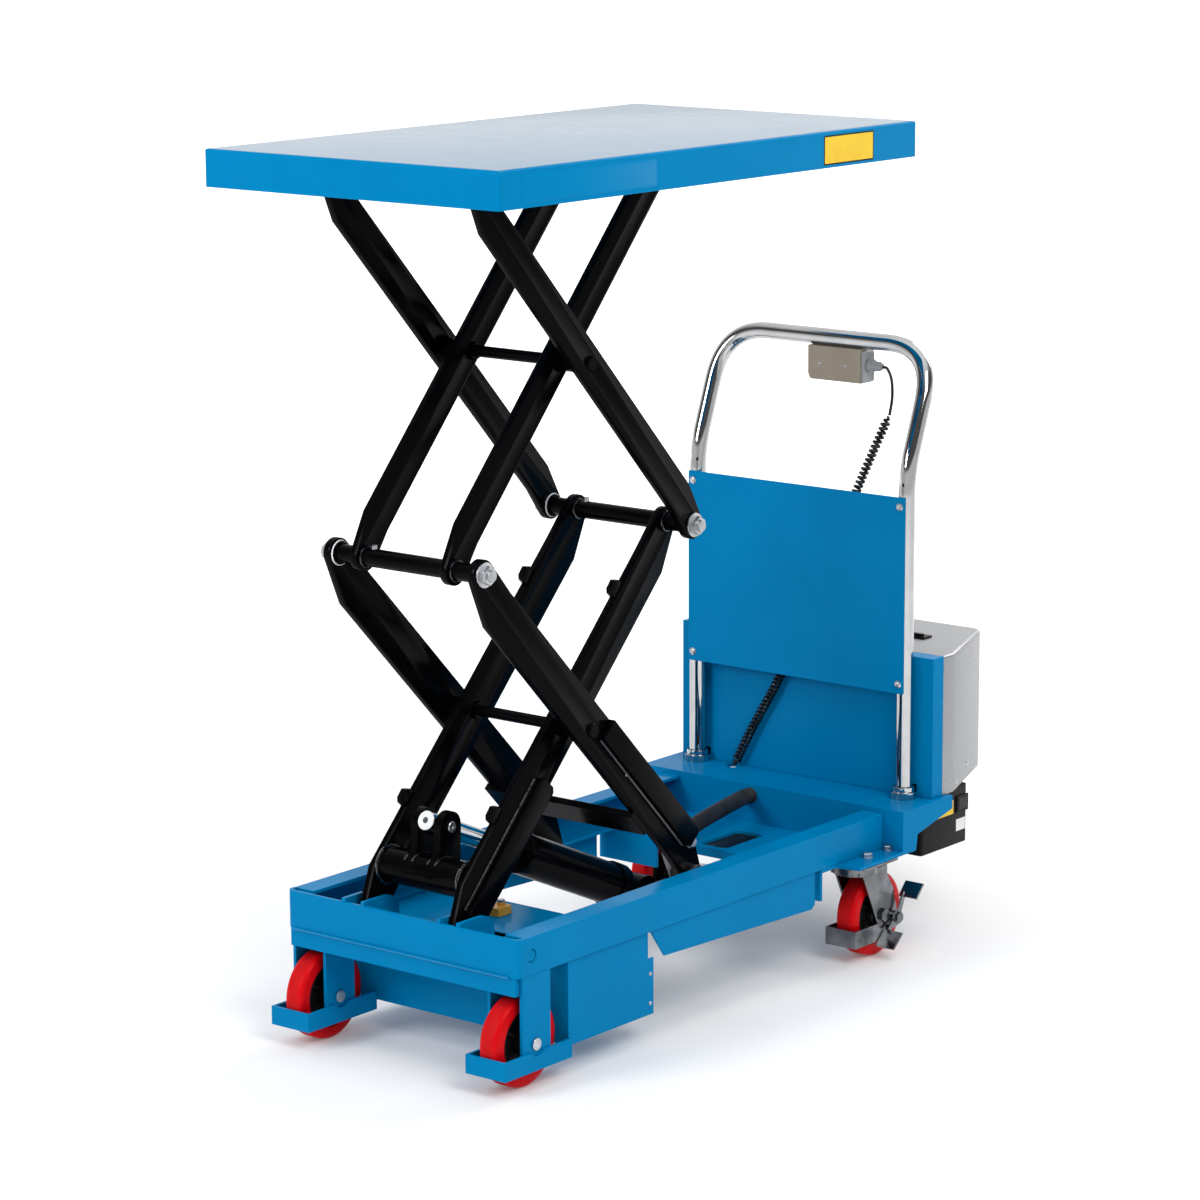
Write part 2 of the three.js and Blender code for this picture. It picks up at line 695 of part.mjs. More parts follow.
function upperInnerArm() {
  const { shape } = armShape(UPPER_ARM_WIDTH, 13, 16, 20, 17, 50);
  hole(shape, 0, 0, MID_TUBE_RADIUS + GAP);
  hole(shape, ARM_PITCH / 2, 0, TIE_RADIUS + GAP);
  hole(shape, ARM_PITCH, 0, PIN_RADIUS + GAP);
  return plateYZ(shape, 0, ARM_THICK);
}

function upperOuterArm() {
  const { shape } = armShape(UPPER_ARM_WIDTH, 35, 14, 16, 20, 50);
  hole(shape, 0, 0, DECK_PIN_RADIUS + GAP);
  hole(shape, ARM_PITCH / 2, 0, TIE_RADIUS + GAP);
  hole(shape, ARM_PITCH, 0, PIN_RADIUS + GAP);
  return plateYZ(shape, 0, ARM_THICK);
}

// Both copies of an arm, hung on the front pivot at the given height and turned by the given angle.
function addArms(name, geometry, x, z, angle) {
  for (const [side, word] of [
    [1, "right"],
    [-1, "left"],
  ]) {
    const arm = add(`${name}_${word}`, side > 0 ? geometry : mirrorX(geometry), BLACK);
    arm.position.set(side * x, PIVOT_Y, z);
    arm.rotation.x = angle;
  }
}

addArms("lower_inner_arm", lowerInnerArm(), INNER_ARM_X, PIVOT_Z, LIFT_ANGLE);
addArms("lower_outer_arm", lowerOuterArm(), OUTER_ARM_X, PIVOT_Z + RISE, -LIFT_ANGLE);
addArms("upper_inner_arm", upperInnerArm(), INNER_ARM_X, PIVOT_Z + RISE, LIFT_ANGLE);
addArms("upper_outer_arm", upperOuterArm(), OUTER_ARM_X, PIVOT_Z + 2 * RISE, -LIFT_ANGLE);

// ---------------------------------------------------------------- cross members of the scissor
const TIE_HUB_RADIUS = 14;

// Half of a turned profile, repeated on both sides of x = 0.
function turnedBothWays(half, sides = 16) {
  const left = half
    .slice()
    .reverse()
    .map(([x, radius]) => [-x, radius]);
  return turnedX([...left, ...half], sides);
}

// Tube across two welded arms. The other pair turns on its stepped ends and is kept on by washers and nuts.
function midTube() {
  const ring = OUTER_ARM_X - GAP;
  const outside = OUTER_ARM_X + ARM_THICK + GAP;
  const tube = turnedBothWays([
    [ring - 3, MID_TUBE_RADIUS],
    [ring - 3, 16],
    [ring, 16],
    [ring, PIN_RADIUS],
    [outside, PIN_RADIUS],
    [outside, 17],
    [outside + 3, 17],
    [outside + 3, 8],
    [outside + 15, 8],
    [outside + 15, 0],
  ]);
  return join(tube, barX(13, outside + 2, outside + 11, 0, 0, 6), barX(13, -outside - 11, -outside - 2, 0, 0, 6));
}

function tieRod() {
  const inside = INNER_ARM_X - GAP;
  const between = INNER_ARM_X + ARM_THICK + GAP;
  const ring = OUTER_ARM_X - GAP;
  const outside = OUTER_ARM_X + ARM_THICK + GAP;
  return turnedBothWays(
    [
      [inside - 4, 8],
      [inside - 4, 12],
      [inside, 12],
      [inside, TIE_RADIUS],
      [between, TIE_RADIUS],
      [between, TIE_HUB_RADIUS],
      [ring, TIE_HUB_RADIUS],
      [ring, TIE_RADIUS],
      [outside, TIE_RADIUS],
      [outside, 11],
      [outside + 3, 9],
      [outside + 3, 0],
    ],
    12
  );
}

function addAcross(name, geometry, y, z, material = BLACK) {
  add(name, geometry, material).position.set(0, y, z);
}

addAcross("rear_mid_tube", midTube(), PIVOT_Y + SPAN, PIVOT_Z + RISE);
addAcross("front_mid_tube", midTube(), PIVOT_Y, PIVOT_Z + RISE);
addAcross("lower_tie_rod", tieRod(), PIVOT_Y + SPAN / 2, PIVOT_Z + RISE / 2);
addAcross("upper_tie_rod", tieRod(), PIVOT_Y + SPAN / 2, PIVOT_Z + 1.5 * RISE);

// A flat bar under the front edges of the lower outer arms, in the arms' own frame.
function lowerCrossBeam() {
  const reach = OUTER_ARM_X + ARM_THICK;
  const beam = block(-reach, reach, ARM_PITCH - 178, ARM_PITCH - 133, 0, 10);
  const slope = Math.atan((44 - 12) / ARM_PITCH);
  const edge = -44 + ((44 - 12) * (ARM_PITCH - 155)) / ARM_PITCH;
  beam.translate(0, -(ARM_PITCH - 155), -10 - GAP);
  beam.rotateX(slope);
  return beam.translate(0, ARM_PITCH - 155, edge);
}

const crossBeam = add("lower_cross_beam", lowerCrossBeam(), BLACK);
crossBeam.position.set(0, PIVOT_Y, PIVOT_Z + RISE);
crossBeam.rotation.x = -LIFT_ANGLE;

// ---------------------------------------------------------------- track rollers
const LOWER_ROLLER_RADIUS = 20.7;
const UPPER_ROLLER_RADIUS = 18;
const LOWER_ROLLER_X = 183;
const UPPER_ROLLER_X = 152;

function trackRoller(radius, half) {
  const bore = PIN_RADIUS + GAP;
  return turnedX(
    [
      [-half, bore],
      [-half, radius - 1],
      [-half + 1, radius],
      [half - 1, radius],
      [half, radius - 1],
      [half, bore],
      [-half, bore],
    ],
    20
  );
}

for (const [side, word] of [
  [1, "right"],
  [-1, "left"],
]) {
  const lower = add(`lower_roller_${word}`, trackRoller(LOWER_ROLLER_RADIUS, 11), ZINC);
  lower.position.set(side * LOWER_ROLLER_X, PIVOT_Y + SPAN, PIVOT_Z);
  const upper = add(`upper_roller_${word}`, trackRoller(UPPER_ROLLER_RADIUS, 10), ZINC);
  upper.position.set(side * UPPER_ROLLER_X, PIVOT_Y + SPAN, PIVOT_Z + 2 * RISE);
}

const rollerShaft = turnedBothWays([
  [INNER_ARM_X - GAP, PIN_RADIUS + 2],
  [INNER_ARM_X - GAP, PIN_RADIUS],
  [INNER_ARM_X + ARM_THICK + GAP, PIN_RADIUS],
  [INNER_ARM_X + ARM_THICK + GAP, PIN_RADIUS + 2],
  [UPPER_ROLLER_X - 11, PIN_RADIUS + 2],
  [UPPER_ROLLER_X - 11, PIN_RADIUS],
  [UPPER_ROLLER_X + 9.5, PIN_RADIUS],
  [UPPER_ROLLER_X + 9.5, 0],
]);
addAcross("upper_roller_shaft", rollerShaft, PIVOT_Y + SPAN, PIVOT_Z + 2 * RISE, ZINC);

// ---------------------------------------------------------------- deck
// Folded tray with its pivot ears, roller tracks and ribs; z = 0 is the top face.
function deck() {
  const half = DECK_WIDTH / 2;
  const bend = 5;
  const acrossProfile = roundedRectangle(-half, half, -DECK_DEPTH * 2, 0, bend);
  const lengthProfile = roundedRectangle(0, DECK_LENGTH, -DECK_DEPTH * 2, 0, bend);
  const across = new THREE.ExtrudeGeometry(acrossProfile, {
    depth: DECK_LENGTH + 20,
    bevelEnabled: false,
    curveSegments: 4,
  });
  across.rotateX(Math.PI / 2).translate(0, DECK_LENGTH + 10, 0);
  const shell = cut(
    common(
      across,
      plateYZ(lengthProfile, -half - 10, half + 10, 4),
      plateXY(roundedRectangle(-half, half, 0, DECK_LENGTH, 4), -DECK_DEPTH, 5, 3)
    ),
    block(-half + 3, half - 3, 3, DECK_LENGTH - 3, -DECK_DEPTH - 5, -DECK_PLATE)
  );
  const pieces = [shell];
  const lip = 4;
  const trackTop = -DECK_DROP + UPPER_ROLLER_RADIUS + 0.5;
  const trackBottom = -DECK_DROP - UPPER_ROLLER_RADIUS - 0.5;
  const inner = UPPER_ROLLER_X - 14;
  const outer = UPPER_ROLLER_X + 16;
  const earOutline = new THREE.Shape();
  earOutline.moveTo(PIVOT_Y - 26, -DECK_PLATE + 1);
  earOutline.lineTo(PIVOT_Y - 16, -DECK_DROP);
  earOutline.absarc(PIVOT_Y, -DECK_DROP, 16, Math.PI, 2 * Math.PI, false);
  earOutline.lineTo(PIVOT_Y + 26, -DECK_PLATE + 1);
  for (const side of [-1, 1]) {
    const span = (a, b) => (side > 0 ? [a, b] : [-b, -a]);
    pieces.push(block(...span(outer - lip, outer), TRACK_FRONT, TRACK_REAR, trackBottom - lip, -DECK_PLATE + 1));
    pieces.push(block(...span(inner, outer - 1), TRACK_FRONT, TRACK_REAR, trackTop, trackTop + lip));
    pieces.push(block(...span(inner, outer - 1), TRACK_FRONT, TRACK_REAR, trackBottom - lip, trackBottom));
    const earInner = OUTER_ARM_X - 10;
    const earOuter = OUTER_ARM_X + ARM_THICK + 3;
    pieces.push(plateYZ(earOutline, ...span(earInner, earInner + 6), 6));
    pieces.push(plateYZ(earOutline, ...span(earOuter, earOuter + 6), 6));
    const pin = span(earInner - 3, earOuter + 9);
    pieces.push(barX(DECK_PIN_RADIUS, ...pin, PIVOT_Y, -DECK_DROP, 12));
  }
  const ribDepth = 28;
  for (const y of RIB_STATIONS) {
    pieces.push(block(-half + 2, half - 2, y, y + 4, -ribDepth, -DECK_PLATE + 1));
  }
  return join(...pieces);
}

add("deck", deck(), BLUE).position.z = DECK_TOP;

// ---------------------------------------------------------------- hydraulic cylinder
const EAR_X = 14;
const EAR_THICK = 12;
const BARREL_FRONT = 184;
const GLAND = 12;
const SHAFT_RADIUS = 10;
const EYE_CLEARANCE = 9;

function torqueTube() {
  const ear = new THREE.Shape();
  ear.moveTo(TORQUE_TUBE_Y - 26, TORQUE_TUBE_Z);
  ear.lineTo(TORQUE_TUBE_Y + 34, TORQUE_TUBE_Z);
  ear.lineTo(CYLINDER_PIN_Y + 21, CYLINDER_PIN_Z - 6);
  ear.absarc(CYLINDER_PIN_Y, CYLINDER_PIN_Z, 21, -0.2, Math.PI, false);
  ear.lineTo(CYLINDER_PIN_Y - 22, CYLINDER_PIN_Z - 30);
  const inside = INNER_ARM_X - GAP;
  return join(
    barX(25, -inside, inside, TORQUE_TUBE_Y, TORQUE_TUBE_Z),
    plateYZ(ear, EAR_X, EAR_X + EAR_THICK, 6),
    plateYZ(ear, -EAR_X - EAR_THICK, -EAR_X, 6),
    barX(8, -EAR_X - EAR_THICK - 1, EAR_X + EAR_THICK + 1, CYLINDER_PIN_Y, CYLINDER_PIN_Z, 12)
  );
}

// The cylinder lies along +Y here, with the rod's eye at the origin.
function cylinderRod() {
  const rod = join(
    barY(ROD_RADIUS, -22, 255),
    barY(24.4, 232, 257)
  );
  return cut(rod, barX(8.6, -30, 30, 0, 0, 12));
}

function cylinderBarrel() {
  const eyeRadius = SHAFT_RADIUS + EYE_CLEARANCE + 9;
  const rear = CYLINDER_LENGTH - 48;
  const body = join(
    barY(BARREL_RADIUS, BARREL_FRONT, rear, 0, 0, 20),
    barY(BARREL_RADIUS + 2.5, rear - 22, rear, 0, 0, 20),
    barY(22, rear - 1, CYLINDER_LENGTH - 14),
    barX(eyeRadius, -20, 20, CYLINDER_LENGTH, 0, 20)
  );
  return cut(
    body,
    barY(ROD_RADIUS + GAP, BARREL_FRONT - 5, BARREL_FRONT + GLAND + 1),
    barY(25, BARREL_FRONT + GLAND, rear - 12, 0, 0, 20),
    barX(SHAFT_RADIUS + EYE_CLEARANCE, -30, 30, CYLINDER_LENGTH, 0, 20)
  );
}

const cylinder = new THREE.Group();
cylinder.position.set(0, CYLINDER_PIN_Y, CYLINDER_PIN_Z);
cylinder.rotation.x = -CYLINDER_TILT;
layout.add(cylinder);
add("torque_tube", torqueTube(), BLACK);
add("cylinder_rod", cylinderRod(), CHROME, cylinder);
add("cylinder_barrel", cylinderBarrel(), BLACK, cylinder);

// Fixed shaft between the rails' skirts that the cylinder pushes against, with the hose's elbow block.
const ANCHOR_Y = CYLINDER_PIN_Y + CYLINDER_LENGTH * Math.cos(CYLINDER_TILT);
const ANCHOR_Z = CYLINDER_PIN_Z - CYLINDER_LENGTH * Math.sin(CYLINDER_TILT);
const HOSE_END = new THREE.Vector3(48, ANCHOR_Y + 25, ANCHOR_Z + 8);

function cylinderAnchor() {
  const reach = RAIL_X - 6 - GAP;
  return join(
    barX(SHAFT_RADIUS, -reach, reach, ANCHOR_Y, ANCHOR_Z),
    barX(17, 30, 34, ANCHOR_Y, ANCHOR_Z),
    barX(17, -34, -30, ANCHOR_Y, ANCHOR_Z),
    block(36, 60, ANCHOR_Y - 14, ANCHOR_Y + 21, ANCHOR_Z - 14, ANCHOR_Z + 22)
  );
}

add("cylinder_anchor", cylinderAnchor(), BLACK);

// ---------------------------------------------------------------- push handle, panel and rear housings
// A straight-sided route whose corners are rounded by curves that start and end the given distance away.
function roundedRoute(points, setbacks) {
  const path = new THREE.CurvePath();
  let from = points[0];
  for (let i = 1; i < points.length - 1; i += 1) {
    const back = points[i - 1].clone().sub(points[i]).setLength(setbacks[i - 1]);
    const ahead = points[i + 1].clone().sub(points[i]).setLength(setbacks[i - 1]);
    const start = points[i].clone().add(back);
    const end = points[i].clone().add(ahead);
    path.add(new THREE.LineCurve3(from, start));
    path.add(new THREE.QuadraticBezierCurve3(start, points[i], end));
    from = end;
  }
  path.add(new THREE.LineCurve3(from, points[points.length - 1]));
  return path;
}

function pushHandle() {
  const foot = BRIDGE_TOP + GAP;
  const corner = (side) => new THREE.Vector3(side * HANDLE_X, HANDLE_BAR_Y, HANDLE_BAR_Z);
  const route = roundedRoute(
    [
      new THREE.Vector3(-HANDLE_X, HANDLE_Y, foot),
      new THREE.Vector3(-HANDLE_X, HANDLE_Y, HANDLE_KNEE_Z),
      corner(-1),
      corner(1),
      new THREE.Vector3(HANDLE_X, HANDLE_Y, HANDLE_KNEE_Z),
      new THREE.Vector3(HANDLE_X, HANDLE_Y, foot),
    ],
    [36, 82, 82, 36]
  );
  return along(route, HANDLE_RADIUS, 84, 10);
}

function handleNut() {
  const foot = BRIDGE_TOP + GAP;
  return cut(
    join(
      barZ(20, foot, foot + 10, HANDLE_X, HANDLE_Y),
      barZ(16.5, foot, foot + 17, HANDLE_X, HANDLE_Y)
    ),
    barZ(HANDLE_RADIUS + GAP, foot - 5, foot + 30, HANDLE_X, HANDLE_Y)
  );
}

function rearHousing() {
  const wall = 2;
  const foot = BRIDGE_TOP + GAP;
  const shell = cut(
    block(-HOUSING_X, HOUSING_X, HOUSING_FRONT, HOUSING_REAR, foot, HOUSING_TOP),
    block(
      -HOUSING_X + wall,
      HOUSING_X - wall,
      HOUSING_FRONT + wall,
      HOUSING_REAR + 5,
      foot + wall,
      HOUSING_TOP - wall
    ),
    barZ(20 + GAP, foot - 5, foot + 18, HANDLE_X, HANDLE_Y),
    barZ(20 + GAP, foot - 5, foot + 18, -HANDLE_X, HANDLE_Y)
  );
  const shelf = block(-150, 150, HOUSING_REAR - 4, FOOTPRINT_LENGTH - 34, foot, foot + 3);
  return join(shell, shelf);
}

function coverPlan(inset) {
  const front = HOUSING_REAR + GAP - (inset > 0 ? 20 : 0);
  const wide = HOUSING_X - inset;
  const narrow = 165 - inset;
  const rear = FOOTPRINT_LENGTH - inset;
  const shoulder = 1050;
  const corner = 14 - inset;
  const plan = new THREE.Shape();
  plan.moveTo(-wide, front);
  plan.lineTo(wide, front);
  plan.lineTo(wide, shoulder);
  plan.lineTo(narrow + 6, rear - corner);
  plan.quadraticCurveTo(narrow, rear, narrow - corner, rear);
  plan.lineTo(-narrow + corner, rear);
  plan.quadraticCurveTo(-narrow, rear, -narrow - 6, rear - corner);
  plan.lineTo(-wide, shoulder);
  return plan;
}

function rearCover() {
  const wall = 2;
  const bend = 5;
  const foot = BRIDGE_TOP + GAP;
  const surplus = 40;
  const folded = new THREE.ExtrudeGeometry(coverPlan(0), {
    depth: HOUSING_TOP - foot + surplus - 2 * bend,
    bevelEnabled: true,
    bevelThickness: bend,
    bevelSize: bend,
    bevelOffset: -bend,
    bevelSegments: 3,
    curveSegments: 4,
  });
  folded.translate(0, 0, foot - surplus + bend);
  const below = block(-300, 300, HOUSING_REAR - 30, FOOTPRINT_LENGTH + 30, foot - 60, foot);
  const hollow = plateXY(coverPlan(wall), foot - 10, HOUSING_TOP - 2 * wall, 4);
  return cut(folded, below, hollow);
}

function charger() {
  const body = plateXY(roundedRectangle(-20, 190, 1027, 1149, 6), 116, 205, 3);
  const flange = block(-5, 145, 1045, 1130, 204, BRIDGE_TOP);
  return join(body, flange);
}

function powerPack() {
  const foot = BRIDGE_TOP + GAP + 3 + GAP;
  return join(
    block(-130, 30, 1040, 1150, foot, foot + 110),
    barX(42, 20, 145, 1095, foot + 62, 28),
    barZ(20, foot + 100, foot + 150, -60, 1095, 20)
  );
}

// Screwed on the front of the handle's two posts.
function frontPanel() {
  const back = HANDLE_Y - HANDLE_RADIUS - GAP;
  const half = HANDLE_X + 7;
  return block(-half, half, back - PANEL_THICK, back, PANEL_BOTTOM, PANEL_TOP);
}

function battery() {
  const half = 150;
  const height = 105;
  const foot = BELLY_BOTTOM + 3;
  return block(-half, half, BELLY_FRONT + 8, BELLY_REAR - 10, foot, foot + height);
}

function valveBlock() {
  const top = RAIL_BOTTOM + 12;
  const port = (x, y) => barZ(6, top - 1, top + 5, x, y, 6);
  return join(block(-40, -4, 286, 314, RAIL_BOTTOM, top), port(-30, 296), port(-14, 304));
}

add("push_handle", pushHandle(), CHROME);
addPair("handle_nut", handleNut(), CHROME);
add("front_panel", frontPanel(), BLUE);
add("rear_housing", rearHousing(), BLUE);
add("rear_cover", rearCover(), GREY);
add("charger", charger(), PLASTIC);
add("power_pack", powerPack(), PLASTIC);
add("battery", battery(), PLASTIC);
add("valve_block", valveBlock(), BRASS);

// ---------------------------------------------------------------- control box, cord and hose
const BOX_LEFT = -28;
const BOX_RIGHT = 70;
const BOX_FRONT = 1037.8;
const BOX_REAR = 1066;
const BOX_BOTTOM = 812;
const BOX_TOP = 860;
const GLAND_Y = 1052;
const GLAND_Z = 838;
const BUTTON_RADIUS = 10;
const BUTTON_X = { up: -2, down: 44 };

function controlBracket() {
  const rear = BOX_FRONT - GAP;
  const front = rear - 3;
  const face = polygon([
    [BOX_LEFT + 7, BOX_BOTTOM + 1],
    [BOX_RIGHT - 4, BOX_BOTTOM + 1],
    [BOX_RIGHT - 4, HANDLE_BAR_Z - HANDLE_RADIUS - 1],
    [BOX_LEFT, HANDLE_BAR_Z - HANDLE_RADIUS - 1],
    [BOX_LEFT, BOX_BOTTOM + 8],
  ]);
  return join(
    plateXY(face, -rear, -front).rotateX(Math.PI / 2),
    block(BOX_LEFT, BOX_RIGHT - 4, front, front + 20, BOX_TOP + GAP, HANDLE_BAR_Z - HANDLE_RADIUS - GAP)
  );
}

function controlBox() {
  const plan = roundedRectangle(BOX_LEFT, BOX_RIGHT, BOX_BOTTOM, BOX_TOP, 5);
  const body = new THREE.ExtrudeGeometry(plan, {
    depth: BOX_REAR - BOX_FRONT,
    bevelEnabled: false,
    curveSegments: 3,
  });
  body.rotateX(Math.PI / 2).translate(0, BOX_REAR, 0);
  const middle = (BOX_BOTTOM + BOX_TOP) / 2;
  const wells = Object.values(BUTTON_X).map((x) =>
    barY(BUTTON_RADIUS + GAP, BOX_REAR - 8, BOX_REAR + 5, x, middle)
  );
  return cut(body, ...wells);
}

function button(x) {
  const middle = (BOX_BOTTOM + BOX_TOP) / 2;
  return barY(BUTTON_RADIUS, BOX_REAR - 3.5, BOX_REAR + 4, x, middle);
}

add("control_bracket", controlBracket(), GREY);
add("control_box", controlBox(), GREY);
add("up_button", button(BUTTON_X.up), PLASTIC);
add("down_button", button(BUTTON_X.down), PLASTIC);
const gland = turnedX(
  [
    [0, 0],
    [0, 10],
    [8, 10],
    [8, 8],
    [20, 7],
    [25, 4],
    [25, 0],
  ],
  16
);
add("cord_gland", gland, GREY).position.set(BOX_RIGHT + GAP, GLAND_Y, GLAND_Z);

// Control cord: a short plain lead out of the gland, then a curly length down to the bridge.
const lead = new THREE.CatmullRomCurve3([
  new THREE.Vector3(BOX_RIGHT + 26.2, GLAND_Y, GLAND_Z),
  new THREE.Vector3(104, 1051.5, 835.5),
  new THREE.Vector3(113, 1049, 820),
  new THREE.Vector3(117, 1045, 795),
  new THREE.Vector3(115, 1041.5, 769.5),
]);
add("cord_lead", along(lead, 2.5, 12, 8), RUBBER);
const curly = new THREE.CatmullRomCurve3([
  new THREE.Vector3(114, 1041, 768),
  new THREE.Vector3(98, 1020, 710),
  new THREE.Vector3(80, 1003, 650),
  new THREE.Vector3(50, 990, 560),
  new THREE.Vector3(8, 985.5, 460),
  new THREE.Vector3(-42, 984, 362),
  new THREE.Vector3(-90, 983, 280),
  CORD_FOOT,
]);
add("cord_curly", along(curly, 7.5, 22, 8), RUBBER);

const hose = new THREE.CatmullRomCurve3([
  HOSE_START,
  new THREE.Vector3(-34, 880, 200),
  new THREE.Vector3(-21, 811, 199),
  new THREE.Vector3(-7, 730, 194),
  new THREE.Vector3(5, 692, 183),
  new THREE.Vector3(22, 662, 165),
  new THREE.Vector3(38, 641, 148),
  new THREE.Vector3(46, 624, 138),
  HOSE_END,
]);
add("hydraulic_hose", along(hose, 12, 18, 10), RUBBER);

export default model;
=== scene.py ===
"""Studio picture of an electric double-scissor lift table, in metres, in the CAD part's own frame."""

import json
import math
import random

import bmesh
import bpy
from mathutils import Matrix, Vector
from mathutils.bvhtree import BVHTree

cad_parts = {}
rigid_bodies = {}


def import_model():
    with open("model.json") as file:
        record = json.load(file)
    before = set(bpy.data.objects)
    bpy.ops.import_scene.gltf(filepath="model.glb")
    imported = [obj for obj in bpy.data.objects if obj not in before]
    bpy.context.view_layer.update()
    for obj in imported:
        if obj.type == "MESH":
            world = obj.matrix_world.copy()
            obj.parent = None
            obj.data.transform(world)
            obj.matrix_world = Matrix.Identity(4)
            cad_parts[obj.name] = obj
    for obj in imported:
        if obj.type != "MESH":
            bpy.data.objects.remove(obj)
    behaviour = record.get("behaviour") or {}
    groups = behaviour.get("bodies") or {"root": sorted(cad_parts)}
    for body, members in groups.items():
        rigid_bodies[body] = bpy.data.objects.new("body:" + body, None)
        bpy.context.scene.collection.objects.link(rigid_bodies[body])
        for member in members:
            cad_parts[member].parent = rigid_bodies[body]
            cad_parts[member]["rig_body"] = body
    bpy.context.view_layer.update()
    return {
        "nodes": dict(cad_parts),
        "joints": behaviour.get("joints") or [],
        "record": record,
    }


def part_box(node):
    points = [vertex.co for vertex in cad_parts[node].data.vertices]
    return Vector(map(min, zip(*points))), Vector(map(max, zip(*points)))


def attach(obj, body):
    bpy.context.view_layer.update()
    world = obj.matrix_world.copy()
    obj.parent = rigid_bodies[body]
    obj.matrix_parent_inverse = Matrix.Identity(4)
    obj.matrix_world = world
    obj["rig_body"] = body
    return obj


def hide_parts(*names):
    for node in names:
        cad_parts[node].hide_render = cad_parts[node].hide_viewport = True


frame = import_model()
nodes = frame["nodes"]
record = frame["record"]
joints = {joint["name"]: joint for joint in frame["joints"]}
slot_of = {part["node"]: part["material_slot"] for part in record["subparts"]}
rng = random.Random(11)
scene = bpy.context.scene

MM = 0.001
SIDES = ((1, "right"), (-1, "left"))
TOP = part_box("deck")[1].z
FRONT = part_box("deck")[0].y
PINHOLE = 0.0003  # radius of the hair-fine bore that keeps the rings of a turned cap even
BACKDROP = (-0.614, 0.789, 0)  # level direction from the camera to what lies behind the table


# ---------------------------------------------------------------- camera
def make_camera():
    """The photograph's view of the table."""
    place = (3.4388, -4.3887, 1.698)
    yaw, pitch, roll = (math.radians(angle) for angle in (37.88, 11.64, -0.07))
    ahead = Vector((-math.sin(yaw) * math.cos(pitch), math.cos(yaw) * math.cos(pitch), -math.sin(pitch)))
    right = Vector((math.cos(yaw), math.sin(yaw), 0))
    up = right.cross(ahead)
    turned_right = right * math.cos(roll) + up * math.sin(roll)
    turned_up = up * math.cos(roll) - right * math.sin(roll)
    data = bpy.data.cameras.new("camera")
    data.sensor_width = 36
    data.lens = 121.11
    data.shift_x = -0.05
    data.clip_end = 40
    camera = bpy.data.objects.new("camera", data)
    rotation = Matrix((turned_right, turned_up, -ahead)).transposed().to_4x4()
    camera.matrix_world = Matrix.Translation(place) @ rotation
    scene.collection.objects.link(camera)
    scene.camera = camera


make_camera()


# ---------------------------------------------------------------- materials
class Shader:
    """A node material on object coordinates, with helpers for noise-driven detail."""

    def __init__(self, name, **sockets):
        self.material = bpy.data.materials.new(name)
        self.material.use_nodes = True
        self.tree = self.material.node_tree
        self.body = self.tree.nodes["Principled BSDF"]
        self.place = self.tree.nodes.new("ShaderNodeTexCoord").outputs["Object"]
        for socket, value in sockets.items():
            self.body.inputs[socket.replace("_", " ")].default_value = value

    def add(self, kind, inputs=(), **settings):
        node = self.tree.nodes.new(kind)
        for key, value in settings.items():
            setattr(node, key, value)
        for key, value in dict(inputs).items():
            if isinstance(value, bpy.types.NodeSocket):
                self.tree.links.new(value, node.inputs[key])
            else:
                node.inputs[key].default_value = value
        return node

    def noise(self, scale, detail):
        inputs = {"Vector": self.place, "Scale": scale, "Detail": detail}
        return self.add("ShaderNodeTexNoise", inputs).outputs["Fac"]

    def between(self, factor, low, high, start=0.3, end=0.7):
        inputs = {"Value": factor, "From Min": start, "From Max": end, "To Min": low, "To Max": high}
        return self.add("ShaderNodeMapRange", inputs).outputs[0]

    def mix(self, factor, first, second, start=0.35, end=0.65):
        ramp = self.add("ShaderNodeValToRGB", {"Fac": factor})
        ramp.color_ramp.elements[0].position = start
        ramp.color_ramp.elements[0].color = (*first, 1)
        ramp.color_ramp.elements[1].position = end
        ramp.color_ramp.elements[1].color = (*second, 1)
        return ramp.outputs[0]

    def set(self, socket, value):
        self.tree.links.new(value, self.body.inputs[socket])

    def bump(self, height, strength, distance):
        inputs = {"Height": height, "Strength": strength, "Distance": distance}
        self.set("Normal", self.add("ShaderNodeBump", inputs).outputs[0])


def painted(name, dark, light, rough, coat, peel, specular=0.5, ior=1.5, wear=0.06):
    """Gloss paint: slightly uneven colour, a faint orange peel and soft rubbed patches."""
    shader = Shader(name, Coat_Weight=coat, Coat_Roughness=0.12, Specular_IOR_Level=specular, IOR=ior)
    shader.set("Base Color", shader.mix(shader.noise(9, 6), dark, light, 0.3, 0.7))
    shader.set("Roughness", shader.between(shader.noise(26, 5), rough - wear, rough + wear))
    shader.bump(shader.noise(240, 2), peel, 0.0004)
    return shader.material


def metal(name, dark, light, rough, spread, scale, grain=0.04):
    """Bare or plated metal whose colour, polish and grain vary at the given scale."""
    shader = Shader(name, Metallic=1.0)
    shader.set("Base Color", shader.mix(shader.noise(scale, 5), dark, light))
    shader.set("Roughness", shader.between(shader.noise(scale * 1.7, 4), rough, rough + spread))
    shader.bump(shader.noise(scale * 3, 3), grain, 0.0003)
    return shader.material


def moulded(name, dark, light, rough, grain, scale=420, ior=1.4):
    """Plastic, rubber or print with a fine surface grain of the given scale."""
    shader = Shader(name, IOR=ior)
    shader.set("Base Color", shader.mix(shader.noise(18, 5), dark, light))
    shader.set("Roughness", shader.between(shader.noise(40, 4), rough - 0.06, rough + 0.08))
    shader.bump(shader.noise(scale, 3), grain, 0.0003)
    return shader.material


